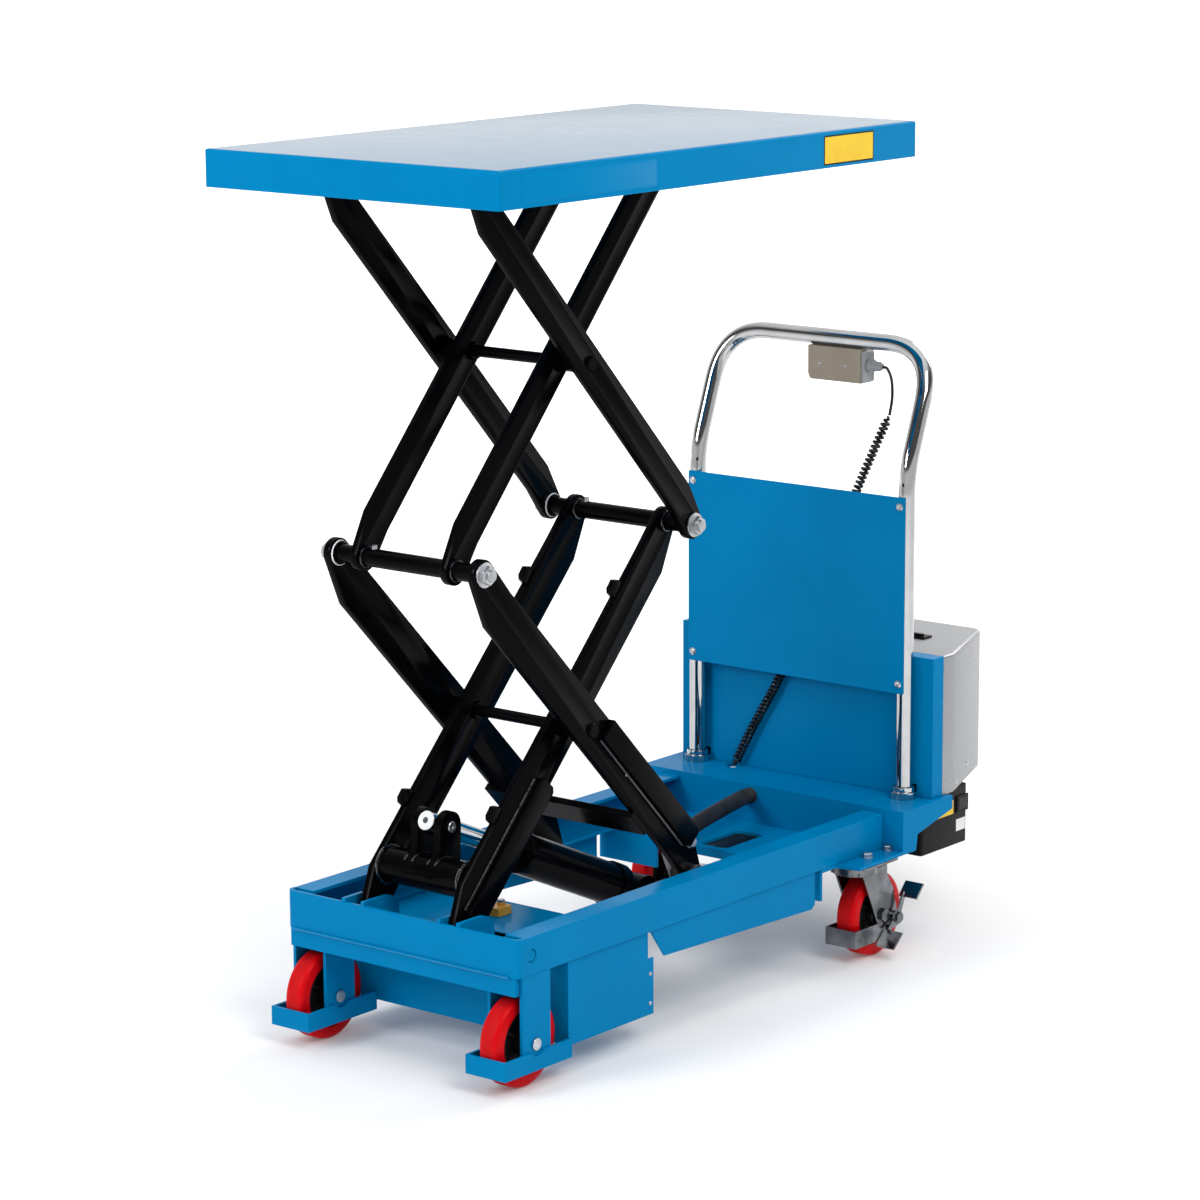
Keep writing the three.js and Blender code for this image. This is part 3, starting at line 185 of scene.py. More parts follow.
BLUE = painted(
    "blue_gloss_paint", (0.0, 0.19, 0.43), (0.0, 0.205, 0.46),
    rough=0.2, coat=0.0, peel=0.04, specular=0.24, ior=1.14,
)
# Painted reflection: the deck's top gets a duller, darker copy of the blue paint, so that it reads grey like
# the pale sky mirrored in it.
DECK_TOP_REFLECTION_BLUE = painted(
    "deck_top_painted_reflection_blue", (0.02, 0.15, 0.28), (0.022, 0.16, 0.3),
    rough=0.17, coat=0.2, peel=0.02, specular=0.55, wear=0.012,
)
BEAD_BLUE = painted(
    "blue_bead_paint", (0.0, 0.19, 0.42), (0.0, 0.205, 0.45),
    rough=0.14, coat=0.0, peel=0.1, specular=0.35,
)
BLACK = painted(
    "black_satin_paint", (0.001, 0.001, 0.0014), (0.002, 0.002, 0.0026),
    rough=0.2, coat=0.0, peel=0.1, specular=0.3, ior=1.15,
)
BEAD = painted(
    "black_bead_paint", (0.002, 0.002, 0.0024), (0.004, 0.004, 0.0046),
    rough=0.13, coat=0.4, peel=0.05, specular=0.7,
)
CHROME = metal(
    "polished_chrome", (0.5, 0.505, 0.51), (0.57, 0.575, 0.58),
    rough=0.03, spread=0.04, scale=30, grain=0.01,
)
ZINC = metal("zinc_plate", (0.42, 0.43, 0.45), (0.62, 0.63, 0.65), rough=0.24, spread=0.18, scale=45)
# Painted shade: a darker copy of the zinc plate, for the caster plates, forks and pedals, which sit in shade
# under the base; the rod's end ring uses it too.
SHADED_ZINC = metal("zinc_with_painted_shade", (0.1, 0.106, 0.114), (0.24, 0.246, 0.256), rough=0.14, spread=0.16, scale=30)
BRASS = moulded("machined_brass", (0.5, 0.24, 0.02), (0.62, 0.32, 0.04), rough=0.3, grain=0.05)
RED = moulded("red_urethane", (0.56, 0.001, 0.004), (0.66, 0.002, 0.006), rough=0.32, grain=0.05, ior=1.18)
TREAD = moulded(
    "worn_red_urethane", (0.46, 0.004, 0.006), (0.6, 0.008, 0.01),
    rough=0.5, grain=0.3, scale=160, ior=1.15,
)
PLASTIC = moulded(
    "black_plastic", (0.005, 0.005, 0.006), (0.010, 0.010, 0.011),
    rough=0.38, grain=0.12, ior=1.22,
)
SHEATH = moulded("cable_sheath", (0.005, 0.005, 0.006), (0.010, 0.010, 0.011), rough=0.24, grain=0.03)
SLEEVE = moulded("hose_sleeve", (0.012, 0.013, 0.014), (0.03, 0.031, 0.034), rough=0.6, grain=0.4, scale=900)
SILVER = metal(
    "silver_grain_paint", (0.34, 0.345, 0.355), (0.41, 0.415, 0.425),
    rough=0.4, spread=0.12, scale=300, grain=0.15,
)
BEIGE = painted("beige_bracket_paint", (0.25, 0.2, 0.14), (0.31, 0.26, 0.2), rough=0.42, coat=0.05, peel=0.2)
GREY = moulded("grey_plastic", (0.24, 0.25, 0.255), (0.29, 0.3, 0.305), rough=0.45, grain=0.25)
YELLOW = moulded("yellow_label", (0.78, 0.5, 0.012), (0.84, 0.56, 0.02), rough=0.35, grain=0.03)
WHITE = moulded("white_label", (0.72, 0.74, 0.75), (0.8, 0.81, 0.82), rough=0.4, grain=0.03)
STICKER = painted(
    "blue_sticker", (0.0, 0.2, 0.445), (0.0, 0.215, 0.475),
    rough=0.12, coat=0.0, peel=0.02, specular=0.3, ior=1.15,
)
CASE = moulded("battery_case", (0.012, 0.012, 0.014), (0.02, 0.02, 0.022), rough=0.5, grain=0.3)

MATERIAL_OF_SLOT = {
    "blue_paint": BLUE,
    "black_paint": BLACK,
    "zinc": ZINC,
    "chrome": CHROME,
    "red_tyre": RED,
    "grey_paint": SILVER,
    "beige_plate": BEIGE,
    "grey_plastic": GREY,
    "black_plastic": PLASTIC,
    "cord_rubber": SHEATH,
    "hose_rubber": SLEEVE,
    "brass": BRASS,
}


# ---------------------------------------------------------------- mesh helpers
def new_piece(name, mesh, material, body, replaced=()):
    mesh.materials.clear()
    mesh.materials.append(material)
    piece = bpy.data.objects.new(name, mesh)
    scene.collection.objects.link(piece)
    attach(piece, body)
    if replaced:
        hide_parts(*replaced)
    return piece


def body_of(node):
    return nodes[node]["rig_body"]


def shade(mesh, angle=35):
    """Smooth faces with creases kept where they meet at more than the given angle."""
    work = bmesh.new()
    work.from_mesh(mesh)
    for face in work.faces:
        face.smooth = True
    for edge in work.edges:
        edge.smooth = len(edge.link_faces) == 2 and edge.calc_face_angle(4) < math.radians(angle)
    work.to_mesh(mesh)
    work.free()


def soften(piece, width, segments=2):
    if width:
        bevel = piece.modifiers.new("edges", "BEVEL")
        bevel.width = width
        bevel.segments = segments
        bevel.limit_method = "ANGLE"
        bevel.angle_limit = math.radians(33)
        bevel.harden_normals = True
        bevel.use_clamp_overlap = True


def refined(node, edge=0.9 * MM, material=None):
    """A copy of a CAD node with merged flat faces, softened edges and smooth round sides."""
    mesh = bpy.data.meshes.new(f"{node}_fine")
    work = bmesh.new()
    work.from_mesh(nodes[node].data)
    bmesh.ops.remove_doubles(work, verts=work.verts, dist=2e-5)
    bmesh.ops.dissolve_limit(work, angle_limit=math.radians(0.8), verts=work.verts, edges=work.edges)
    work.to_mesh(mesh)
    work.free()
    if "custom_normal" in mesh.attributes:
        mesh.attributes.remove(mesh.attributes["custom_normal"])
    shade(mesh)
    slot = slot_of[node]
    piece = new_piece(f"{node}_fine", mesh, material or MATERIAL_OF_SLOT[slot], body_of(node), [node])
    soften(piece, edge)
    return piece


def repaint(piece, material, test):
    """Gives the faces whose centre passes a test another material."""
    piece.data.materials.append(material)
    index = len(piece.data.materials) - 1
    for face in piece.data.polygons:
        if test(face.center):
            face.material_index = index


def lathe(profile, segments, axis="X", at=(0, 0, 0)):
    """A mesh turned about X or Z from a closed loop of (along, radius) points."""
    work = bmesh.new()
    rings = []
    for step in range(segments):
        angle = 2 * math.pi * step / segments
        rings.append(
            [work.verts.new((a, r * math.cos(angle), r * math.sin(angle))) for a, r in profile]
        )
    count = len(profile)
    for step in range(segments):
        here, there = rings[step], rings[(step + 1) % segments]
        for i in range(count):
            j = (i + 1) % count
            work.faces.new((here[i], here[j], there[j], there[i]))
    turn = Matrix.Identity(4) if axis == "X" else Matrix.Rotation(-math.pi / 2, 4, "Y")
    bmesh.ops.transform(work, matrix=Matrix.Translation(at) @ turn, verts=work.verts)
    bmesh.ops.recalc_face_normals(work, faces=work.faces)
    mesh = bpy.data.meshes.new("turned")
    work.to_mesh(mesh)
    work.free()
    shade(mesh)
    return mesh


def disc(radius, low, high, at):
    """A short round bar along X with softened rims."""
    r = 0.6 * MM
    bore = 0.0004
    profile = [
        (low, bore),
        (low, radius - r),
        (low + 0.3 * r, radius - 0.3 * r),
        (low + r, radius),
        (high - r, radius),
        (high - 0.3 * r, radius - 0.3 * r),
        (high, radius - r),
        (high, bore),
    ]
    return lathe(profile, 32, at=at)


def turned_to(mesh, at, axis):
    """Stands a mesh made on +Z at a point, along another axis."""
    turn = Vector((0, 0, 1)).rotation_difference(Vector(axis)).to_matrix().to_4x4()
    mesh.transform(Matrix.Translation(at) @ turn)
    return mesh


def hex_bolt(name, at, axis, across, height, body, washer=0.0):
    """A hexagon head with a chamfered top, on a washer if one is given."""
    parts = []
    seat = 0.0
    if washer:
        seat = 1.6 * MM
        chamfer = 0.4 * MM
        rim = [(0, PINHOLE), (0, washer), (seat - chamfer, washer), (seat, washer - chamfer), (seat, PINHOLE)]
        parts.append(lathe(rim, 32, "Z"))
    corner = across / math.sqrt(3)
    head = [
        (seat, PINHOLE),
        (seat, corner),
        (seat + 0.8 * height, corner),
        (seat + height, 0.86 * corner),
        (seat + height, PINHOLE),
    ]
    parts.append(lathe(head, 6, "Z"))
    return new_piece(name, turned_to(merged(parts), at, axis), ZINC, body)


def pin_end(name, at, axis, radius, height, body, material, drill=2.2 * MM):
    """The chamfered end of a turned pin with a centre drilling."""
    profile = [
        (0, PINHOLE),
        (0, radius),
        (height - 0.8 * MM, radius),
        (height, radius - 0.8 * MM),
        (height, drill),
        (height - 1.2 * MM, 0.3 * drill),
        (height - 1.2 * MM, PINHOLE),
    ]
    return new_piece(name, turned_to(lathe(profile, 32, "Z"), at, axis), material, body)


def box_mesh(low, high):
    work = bmesh.new()
    bmesh.ops.create_cube(work, size=1)
    low, high = Vector(low), Vector(high)
    for vert in work.verts:
        vert.co = Vector(low[i] if vert.co[i] < 0 else high[i] for i in range(3))
    mesh = bpy.data.meshes.new("block")
    work.to_mesh(mesh)
    work.free()
    shade(mesh)
    return mesh


def plate_mesh(outline, thickness, edge, matrix, holes=()):
    """A flat plate centred on its outline's own plane, with rounded rims and round holes."""
    curve = bpy.data.curves.new("plate", "CURVE")
    curve.dimensions = "2D"
    curve.fill_mode = "BOTH"
    curve.extrude = thickness / 2 - edge
    curve.bevel_depth = edge
    curve.bevel_resolution = 1
    curve.offset = -edge
    loops = [outline]
    for u, v, r in holes:
        steps = 40
        turn = [2 * math.pi * k / steps for k in range(steps)]
        loops.append([(u + r * math.cos(t), v + r * math.sin(t)) for t in turn])
    for loop in loops:
        spline = curve.splines.new("POLY")
        spline.points.add(len(loop) - 1)
        for point, (u, v) in zip(spline.points, loop):
            point.co = (u, v, 0, 1)
        spline.use_cyclic_u = True
    holder = bpy.data.objects.new("plate", curve)
    scene.collection.objects.link(holder)
    bpy.context.view_layer.update()
    mesh = bpy.data.meshes.new_from_object(holder)
    bpy.data.objects.remove(holder)
    bpy.data.curves.remove(curve)
    work = bmesh.new()
    work.from_mesh(mesh)
    bmesh.ops.remove_doubles(work, verts=work.verts, dist=1e-6)
    bmesh.ops.recalc_face_normals(work, faces=work.faces)
    work.to_mesh(mesh)
    work.free()
    mesh.transform(matrix)
    shade(mesh)
    return mesh


def rounded_plan(a0, a1, b0, b1, radius):
    """A rectangle with round corners, as a list of points."""
    steps = 6
    corners = ((a1 - radius, b0 + radius, -90), (a1 - radius, b1 - radius, 0))
    corners += ((a0 + radius, b1 - radius, 90), (a0 + radius, b0 + radius, 180))
    points = []
    for a, b, start in corners:
        for k in range(steps + 1):
            turn = math.radians(start + 90 * k / steps)
            points.append((a + radius * math.cos(turn), b + radius * math.sin(turn)))
    return points


def sweep(points, radius, sides):
    """A round bar along a list of points; radius may be a number or a function of the point's index."""
    work = bmesh.new()
    normal = None
    rings = []
    for i, point in enumerate(points):
        ahead = (points[min(i + 1, len(points) - 1)] - points[max(i - 1, 0)]).normalized()
        if normal is None:
            normal = ahead.orthogonal()
        normal = (normal - ahead * normal.dot(ahead)).normalized()
        side = ahead.cross(normal)
        r = radius(i) if callable(radius) else radius
        turn = [2 * math.pi * k / sides for k in range(sides)]
        rings.append([work.verts.new(point + (normal * math.cos(t) + side * math.sin(t)) * r) for t in turn])
    for here, there in zip(rings, rings[1:]):
        for k in range(sides):
            m = (k + 1) % sides
            work.faces.new((here[k], here[m], there[m], there[k]))
    work.faces.new(rings[0][::-1])
    work.faces.new(rings[-1])
    bmesh.ops.recalc_face_normals(work, faces=work.faces)
    mesh = bpy.data.meshes.new("swept")
    work.to_mesh(mesh)
    work.free()
    shade(mesh)
    return mesh


def merged(meshes):
    work = bmesh.new()
    for mesh in meshes:
        work.from_mesh(mesh)
    joined = bpy.data.meshes.new("joined")
    work.to_mesh(joined)
    work.free()
    return joined


def weld_bead(points, radius):
    """A lumpy weld along a route: overlapping drops of filler."""
    route = []
    for a, b in zip(points, points[1:]):
        steps = max(2, int((b - a).length / (1.1 * MM)))
        route += [a.lerp(b, k / steps) for k in range(steps)]
    route.append(points[-1])
    jitter = [1 + 0.1 * rng.random() for _ in route]
    return sweep(route, lambda i: radius * (0.84 + 0.2 * abs(math.sin(i * 1.05))) * jitter[i], 8)


def circle(centre, axis_a, axis_b, radius, steps, start=0.0, end=2 * math.pi):
    """Points of an arc, or of a full turn, in the plane of two axes."""
    turn = [start + (end - start) * k / steps for k in range(steps + 1)]
    return [centre + axis_a * (radius * math.cos(t)) + axis_b * (radius * math.sin(t)) for t in turn]


# ---------------------------------------------------------------- control cord
def spline_through(points, steps):
    """Smooth route through points: each stretch is a Catmull-Rom cubic."""
    points = [Vector(p) for p in points]
    padded = [points[0] * 2 - points[1], *points, points[-1] * 2 - points[-2]]
    route = []
    for i in range(1, len(padded) - 2):
        p0, p1, p2, p3 = padded[i - 1 : i + 3]
        for k in range(steps):
            t = k / steps
            a = p1 * 2 + (p2 - p0) * t
            b = (p0 * 2 - p1 * 5 + p2 * 4 - p3) * t * t
            c = (p1 * 3 - p0 - p2 * 3 + p3) * t * t * t
            route.append((a + b + c) / 2)
    route.append(points[-1])
    return route


def length_of(route):
    return sum((b - a).length for a, b in zip(route, route[1:]))


def local(x, y, z):
    """A point laid out from the deck's front edge and the floor, in millimetres, as a point of the frame."""
    return Vector((x * MM, FRONT + y * MM, z * MM))


def helix_along(axis, radius, turns):
    """Turns evenly spaced along a route, which grow from its first point and shrink to its last."""
    per_turn = 14
    blend_in = 1.5
    steps = turns * per_turn
    lengths = [0.0]
    for a, b in zip(axis, axis[1:]):
        lengths.append(lengths[-1] + (b - a).length)
    total = lengths[-1]
    coil = []
    cursor = 0
    normal = None
    for k in range(steps + 1):
        s = total * k / steps
        while cursor < len(lengths) - 2 and lengths[cursor + 1] < s:
            cursor += 1
        t = (s - lengths[cursor]) / max(lengths[cursor + 1] - lengths[cursor], 1e-9)
        centre = axis[cursor].lerp(axis[cursor + 1], min(t, 1))
        ahead = (axis[cursor + 1] - axis[cursor]).normalized()
        if normal is None:
            normal = ahead.orthogonal()
        normal = (normal - ahead * normal.dot(ahead)).normalized()
        side = ahead.cross(normal)
        angle = 2 * math.pi * k / per_turn
        grown = min(1.0, k / (blend_in * per_turn), (steps - k) / (blend_in * per_turn))
        coil.append(centre + (normal * math.cos(angle) + side * math.sin(angle)) * (radius * grown))
    return coil


def make_cord():
    """The control's cord: a short plain lead out of the gland, then the curly length down to the bridge."""
    gland_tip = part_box("cord_gland")[1].x
    lead_points = [
        Vector((gland_tip + 0.5 * MM, FRONT + 1052 * MM, 838 * MM)),
        local(104, 1051.5, 835.5),
        local(113, 1049, 820),
        local(117, 1045, 795),
        local(115, 1041.5, 769.5),
    ]
    curly_points = [
        local(114, 1041, 768),
        local(98, 1020, 710),
        local(80, 1003, 650),
        local(50, 990, 560),
        local(8, 985.5, 460),
        local(-42, 984, 362),
        local(-90, 983, 280),
        local(-123, 982, 218),
    ]
    wire = 2.2 * MM
    outer_radius = 7.5 * MM
    pitch = 7.0 * MM
    axis = spline_through(curly_points, 40)
    coil = helix_along(axis, outer_radius - wire, int(length_of(axis) / pitch))
    lead = spline_through(lead_points, 8)
    lead_piece = new_piece(
        "control_lead", sweep(lead, wire, 12), SHEATH, "base", ["cord_lead"]
    )
    curly_piece = new_piece(
        "control_coil", sweep(coil, wire, 8), SHEATH, "base", ["cord_curly"]
    )


make_cord()


# ---------------------------------------------------------------- plates and boxes carried over from the CAD
def refine_all():
    """Every CAD node that keeps its own shape, with its edges softened."""
    wide = 1.4 * MM
    tube_face = 131.2 * MM
    for name in ("front_beam", "rear_bridge", "belly_box", "rail_right", "rail_left"):
        refined(name, wide)
    for name in ("front_fork", "front_axle"):
        for _, word in SIDES:
            refined(f"{name}_{word}", 0.8 * MM)
    # Painted shade: the caster parts take the darker zinc, for the shade they sit in under the base.
    for name in ("caster_plate", "caster_fork", "caster_pedal"):
        for _, word in SIDES:
            refined(f"{name}_{word}", 0.8 * MM, SHADED_ZINC)
    for name in ("lower_roller", "upper_roller", "handle_nut"):
        for _, word in SIDES:
            refined(f"{name}_{word}", 1.0 * MM)
    deck = refined("deck", wide)
    # Painted reflection: the deck's top faces take the duller blue, which stands in for the grey sky mirrored
    # in them.
    repaint(deck, DECK_TOP_REFLECTION_BLUE, lambda centre: centre.z > TOP - 0.5 * MM)
    for name in ("front_panel", "rear_housing"):
        refined(name, 0.9 * MM)
    for name in ("rear_cover", "charger", "control_bracket", "control_box", "cord_gland"):
        refined(name, 1.0 * MM)
    for name in ("torque_tube", "lower_tie_rod", "upper_tie_rod"):
        refined(name, 0.8 * MM)
    for name in ("rear_mid_tube", "front_mid_tube"):
        tube = refined(name, 0.8 * MM)
        repaint(tube, ZINC, lambda centre: abs(centre.x) > tube_face)
    for name in ("lower_cross_beam", "upper_roller_shaft", "cylinder_barrel", "cylinder_rod"):
        refined(name, 0.8 * MM)
    for name in ("cylinder_anchor", "valve_block", "up_button", "down_button"):
        refined(name, 0.8 * MM)
    for name in ("battery", "power_pack"):
        refined(name, 2 * MM, CASE)


refine_all()


# ---------------------------------------------------------------- scissor arms
PIVOT = Vector(joints["lift"]["pos_m"])
KNEE = Vector(joints["rear_knee"]["pos_m"])
PITCH = (KNEE - PIVOT).length
ANGLE = math.atan2(KNEE.z - PIVOT.z, KNEE.y - PIVOT.y)
RISE = KNEE.z - PIVOT.z
ARM_THICKNESS = 12 * MM
INNER_ARM_FACE = 72 * MM
OUTER_ARM_FACE = 119 * MM


def head_arc(centre, radius, start, end):
    """An arm's round end about a pivot."""
    steps = 20
    turn = [start + (end - start) * k / steps for k in range(steps + 1)]
    return [(centre + radius * math.cos(t), radius * math.sin(t)) for t in turn]


def arm_outline(width, low_front, low_rear, head_front, head_rear, taper):
    """The arm's outline from its front pivot at (0, 0) to its rear pivot at (PITCH, 0)."""

    def low(u):
        return -low_front + (low_front - low_rear) * u / PITCH

    def touch(du, v, radius, turn):
        return math.atan2(v, du) + turn * math.acos(radius / math.hypot(du, v))

    rear = PITCH - taper
    points = [(rear, low(rear) + width), (taper, low(taper) + width)]
    start = touch(taper, low(taper) + width, head_front, 1)
    end = 2 * math.pi + touch(taper, low(taper), head_front, -1)
    points += head_arc(0, head_front, start, end)
    points += [(taper, low(taper)), (rear, low(rear))]
    start = touch(-taper, low(rear), head_rear, 1)
    end = touch(-taper, low(rear) + width, head_rear, -1)
    points += head_arc(PITCH, head_rear, start, end)
    return points, low


def arm_frame(front_pivot_z, angle, x):
    """Takes (along, up, across) of an arm to the frame."""
    along = Vector((0, math.cos(angle), math.sin(angle)))
    up = Vector((0, -math.sin(angle), math.cos(angle)))
    across = Vector((1, 0, 0))
    place = Matrix((along, up, across)).transposed().to_4x4()
    return Matrix.Translation((x, PIVOT.y, front_pivot_z)) @ place


# Each arm in millimetres: width, depth below its front and its rear pivot, radii of its front and rear heads,
# length of its tapers; then its front pivot's height and its slope.
ARMS = {
    "lower_inner_arm": (60, 14, 42, 18, 20, 60, PIVOT.z, ANGLE),
    "lower_outer_arm": (60, 44, 12, 20, 18, 60, PIVOT.z + RISE, -ANGLE),
    "upper_inner_arm": (47, 13, 16, 20, 17, 50, PIVOT.z + RISE, ANGLE),
    "upper_outer_arm": (47, 35, 14, 16, 20, 50, PIVOT.z + 2 * RISE, -ANGLE),
}
# Radii of each arm's front, middle and rear holes, in millimetres; 0 is no hole.
ARM_HOLES = {
    "lower_inner_arm": (10.3, 9.3, 12.8),
    "lower_outer_arm": (10.3, 9.3, 0),
    "upper_inner_arm": (12.8, 9.3, 10.3),
    "upper_outer_arm": (8.3, 9.3, 10.3),
}


def make_arms():
    for name, (*shape, z, angle) in ARMS.items():
        outline, low = arm_outline(*(value * MM for value in shape))
        front_hole, middle_hole, rear_hole = (r * MM for r in ARM_HOLES[name])
        holes = [(0, 0, front_hole), (PITCH / 2, 0, middle_hole)]
        if rear_hole:
            holes.append((PITCH, 0, rear_hole))
        for side, word in SIDES:
            node = f"{name}_{word}"
            face = INNER_ARM_FACE if "inner" in name else OUTER_ARM_FACE
            matrix = arm_frame(z, angle, side * (face + ARM_THICKNESS / 2))
            mesh = plate_mesh(outline, ARM_THICKNESS, 1.1 * MM, matrix, holes)
            new_piece(f"{node}_plate", mesh, BLACK, body_of(node), [node])
            extras(name, word, side, matrix, low)


def bar_on_arm(outline, thickness, matrix, side, name, body):
    """A bar lying on the outer face of an arm plate."""
    shift = Matrix.Translation((0, 0, side * (ARM_THICKNESS / 2 + thickness / 2)))
    mesh = plate_mesh([(u * MM, v * MM) for u, v in outline], thickness, 0.6 * MM, matrix @ shift)
    new_piece(name, mesh, BLACK, body)


def extras(name, word, side, matrix, low):
    """Doublers, weld seams, stop tabs, bolts and stub axles of the lower arms."""
    body = body_of(f"{name}_{word}")

    def level(u):
        return low(u * MM) / MM

    if name == "lower_inner_arm":
        outline = [
            (30, level(30)),
            (244, level(250)),
            (250, level(250) + 6),
            (250, level(250) + 28),
            (244, level(250) + 34),
            (30, level(30) + 34),
        ]
        bar_on_arm(outline, 12 * MM, matrix, side, f"inner_doubler_{word}", body)
        for station in (165, 535):
            edge = level(station) + 60
            tab = [
                (station - 11, edge - 3),
                (station + 13, edge - 3),
                (station + 13, edge + 10),
                (station + 8, edge + 17),
                (station - 6, edge + 17),
                (station - 11, edge + 12),
            ]
            mesh = plate_mesh([(u * MM, v * MM) for u, v in tab], 8 * MM, 0.6 * MM, matrix)
            new_piece(f"stop_tab_{station}_{word}", mesh, BLACK, body)
        seam = [
            matrix @ Vector((u * MM, (level(u) + 34.6) * MM, side * 6.6 * MM)) for u in range(34, 250, 6)
        ]
        new_piece(f"inner_seam_{word}", weld_bead(seam, 3.0 * MM), BEAD, body)
    if name == "lower_outer_arm":
        outline = [
            (350, level(350) + 28),
            (614, level(620) + 28),
            (620, level(620) + 34),
            (620, level(620) + 54),
            (614, level(620) + 60),
            (350, level(350) + 60),
        ]
        bar_on_arm(outline, 10 * MM, matrix, side, f"outer_doubler_{word}", body)
        seam = [
            matrix @ Vector((u * MM, (level(u) + 27.4) * MM, side * 6.6 * MM)) for u in range(354, 618, 6)
        ]
        new_piece(f"outer_seam_{word}", weld_bead(seam, 2.0 * MM), BEAD, body)
        bolt_at = matrix @ Vector((PITCH - 43 * MM, 27 * MM, side * 6 * MM))
        hex_bolt(f"cross_beam_bolt_{word}", bolt_at, (side, 0, 0), 14 * MM, 5.5 * MM, body, 9 * MM)
        pin_at = matrix @ Vector((437 * MM, 4 * MM, side * 6 * MM))
        pin_end(f"arm_pin_{word}", pin_at, (side, 0, 0), 3 * MM, 1.6 * MM, body, ZINC, 1 * MM)
        centre = matrix @ Vector((PITCH, 0, side * 6 * MM))
        x0 = abs(centre.x)
        at = (0, centre.y, centre.z)
        ends = [side * x0, side * (x0 + 12 * MM)]
        collar = disc(15 * MM, min(ends), max(ends), at=at)
        ends = [side * (x0 + 12 * MM), side * (x0 + 38 * MM)]
        boss = disc(18 * MM, min(ends), max(ends), at=at)
        ends = [side * (x0 + 37 * MM), side * (x0 + 64 * MM)]
        stub = disc(10 * MM, min(ends), max(ends), at=at)
        mesh = merged([collar, boss, stub])
        new_piece(f"stub_axle_{word}", mesh, ZINC, body)


make_arms()


# ---------------------------------------------------------------- wheels
def make_wheel(node, tread_half, hub_half, bore):
    low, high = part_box(node)
    centre = (low + high) / 2
    radius = (high.z - low.z) / 2
    half = tread_half
    tyre = [
        (-half + 3 * MM, 43 * MM),
        (-half, 46 * MM),
        (-half, radius - 8 * MM),
        (-half + 1.2 * MM, radius - 3.6 * MM),
        (-half + 3.6 * MM, radius - 0.9 * MM),
        (-half + 7 * MM, radius),
        (half - 7 * MM, radius),
        (half - 3.6 * MM, radius - 0.9 * MM),
        (half - 1.2 * MM, radius - 3.6 * MM),
        (half, radius - 8 * MM),
        (half, 46 * MM),
        (half - 3 * MM, 43 * MM),
    ]
    hub = [
        (-hub_half, bore),
        (-hub_half, 17 * MM),
        (-hub_half + 2 * MM, 19 * MM),
        (-7 * MM, 20 * MM),
        (-6 * MM, 23 * MM),
        (-6 * MM, 38 * MM),
        (-half + 2 * MM, 41 * MM),
        (-half + 2 * MM, 43.5 * MM),
        (half - 2 * MM, 43.5 * MM),
        (half - 2 * MM, 41 * MM),
        (6 * MM, 38 * MM),
        (6 * MM, 23 * MM),
        (7 * MM, 20 * MM),
        (hub_half - 2 * MM, 19 * MM),
        (hub_half, 17 * MM),
        (hub_half, bore),
    ]
    body = body_of(node)
    rim = new_piece(f"{node}_tyre", lathe(tyre, 72, at=centre), RED, body, [node])
    repaint(rim, TREAD, lambda c: math.hypot(c.y - centre.y, c.z - centre.z) > radius - 0.45 * MM)
    parts = [lathe(hub, 48, at=centre)]
    for k in range(6):
        turn = Matrix.Translation(centre) @ Matrix.Rotation(k * math.pi / 3, 4, "X")
        rib = box_mesh((-half + 3 * MM, -2 * MM, 18 * MM), (half - 3 * MM, 2 * MM, 42 * MM))
        rib.transform(turn)
        parts.append(rib)
    new_piece(f"{node}_hub", merged(parts), PLASTIC, body)
    reach = hub_half - 0.4 * MM
    rims = []
    for side in (-1, 1):
        ends = sorted((side * reach, side * (reach + 0.9 * MM)))
        ring = [
            (ends[0], bore + 0.1 * MM),
            (ends[0], 14 * MM),
            (ends[1], 13.4 * MM),
            (ends[1], bore + 0.1 * MM),
        ]
        rims.append(lathe(ring, 40, at=centre))
    new_piece(f"{node}_bearing", merged(rims), ZINC, body)


def make_wheels():
    for _, word in SIDES:
        make_wheel(f"front_wheel_{word}", 16 * MM, 20.5 * MM, 6.3 * MM)
        make_wheel(f"caster_wheel_{word}", 16 * MM, 19.4 * MM, 6.3 * MM)


make_wheels()


# ---------------------------------------------------------------- push handle
def rounded(points, setbacks, steps):
    """A route of straight runs whose corners are quadratic curves."""
    route = [points[0]]
    for i in range(1, len(points) - 1):
        back = (points[i - 1] - points[i]).normalized() * setbacks[i - 1]
        ahead = (points[i + 1] - points[i]).normalized() * setbacks[i - 1]
        start, end = points[i] + back, points[i] + ahead
        for k in range(steps + 1):
            t = k / steps
            route.append(start * (1 - t) ** 2 + points[i] * 2 * t * (1 - t) + end * t * t)
    route.append(points[-1])
    return route


def make_handle():
    x, y, foot = 190, 979, 217.3
    route = rounded(
        [
            local(-x, y, foot),
            local(-x, y, 700),
            local(-x, 1046, 875.5),
            local(x, 1046, 875.5),
            local(x, y, 700),
            local(x, y, foot),
        ],
        [36 * MM, 82 * MM, 82 * MM, 36 * MM],
        24,
    )
    mesh = sweep(route, 12.5 * MM, 40)
    new_piece("push_handle_tube", mesh, CHROME, "base", ["push_handle"])


make_handle()


# ---------------------------------------------------------------- hose
def make_hose():
    end_y = (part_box("hydraulic_hose")[0].y - FRONT) / MM
    points = [
        local(-35, 905.1, 200),
        local(-34, 880, 200),
        local(-21, 811, 199),
        local(-7, 730, 194),
        local(5, 692, 183),
        local(22, 662, 165),
        local(38, 641, 148),
        local(46, 624, 138),
        local(48, end_y + 0.3, 135.8),
    ]
    route = spline_through(points, 60)
    ribbed = sweep(route, lambda i: 11.3 * MM + 0.6 * MM * (0.5 + 0.5 * math.sin(i * 1.3)), 24)
    new_piece("hose_sleeve", ribbed, SLEEVE, "base", ["hydraulic_hose"])


make_hose()


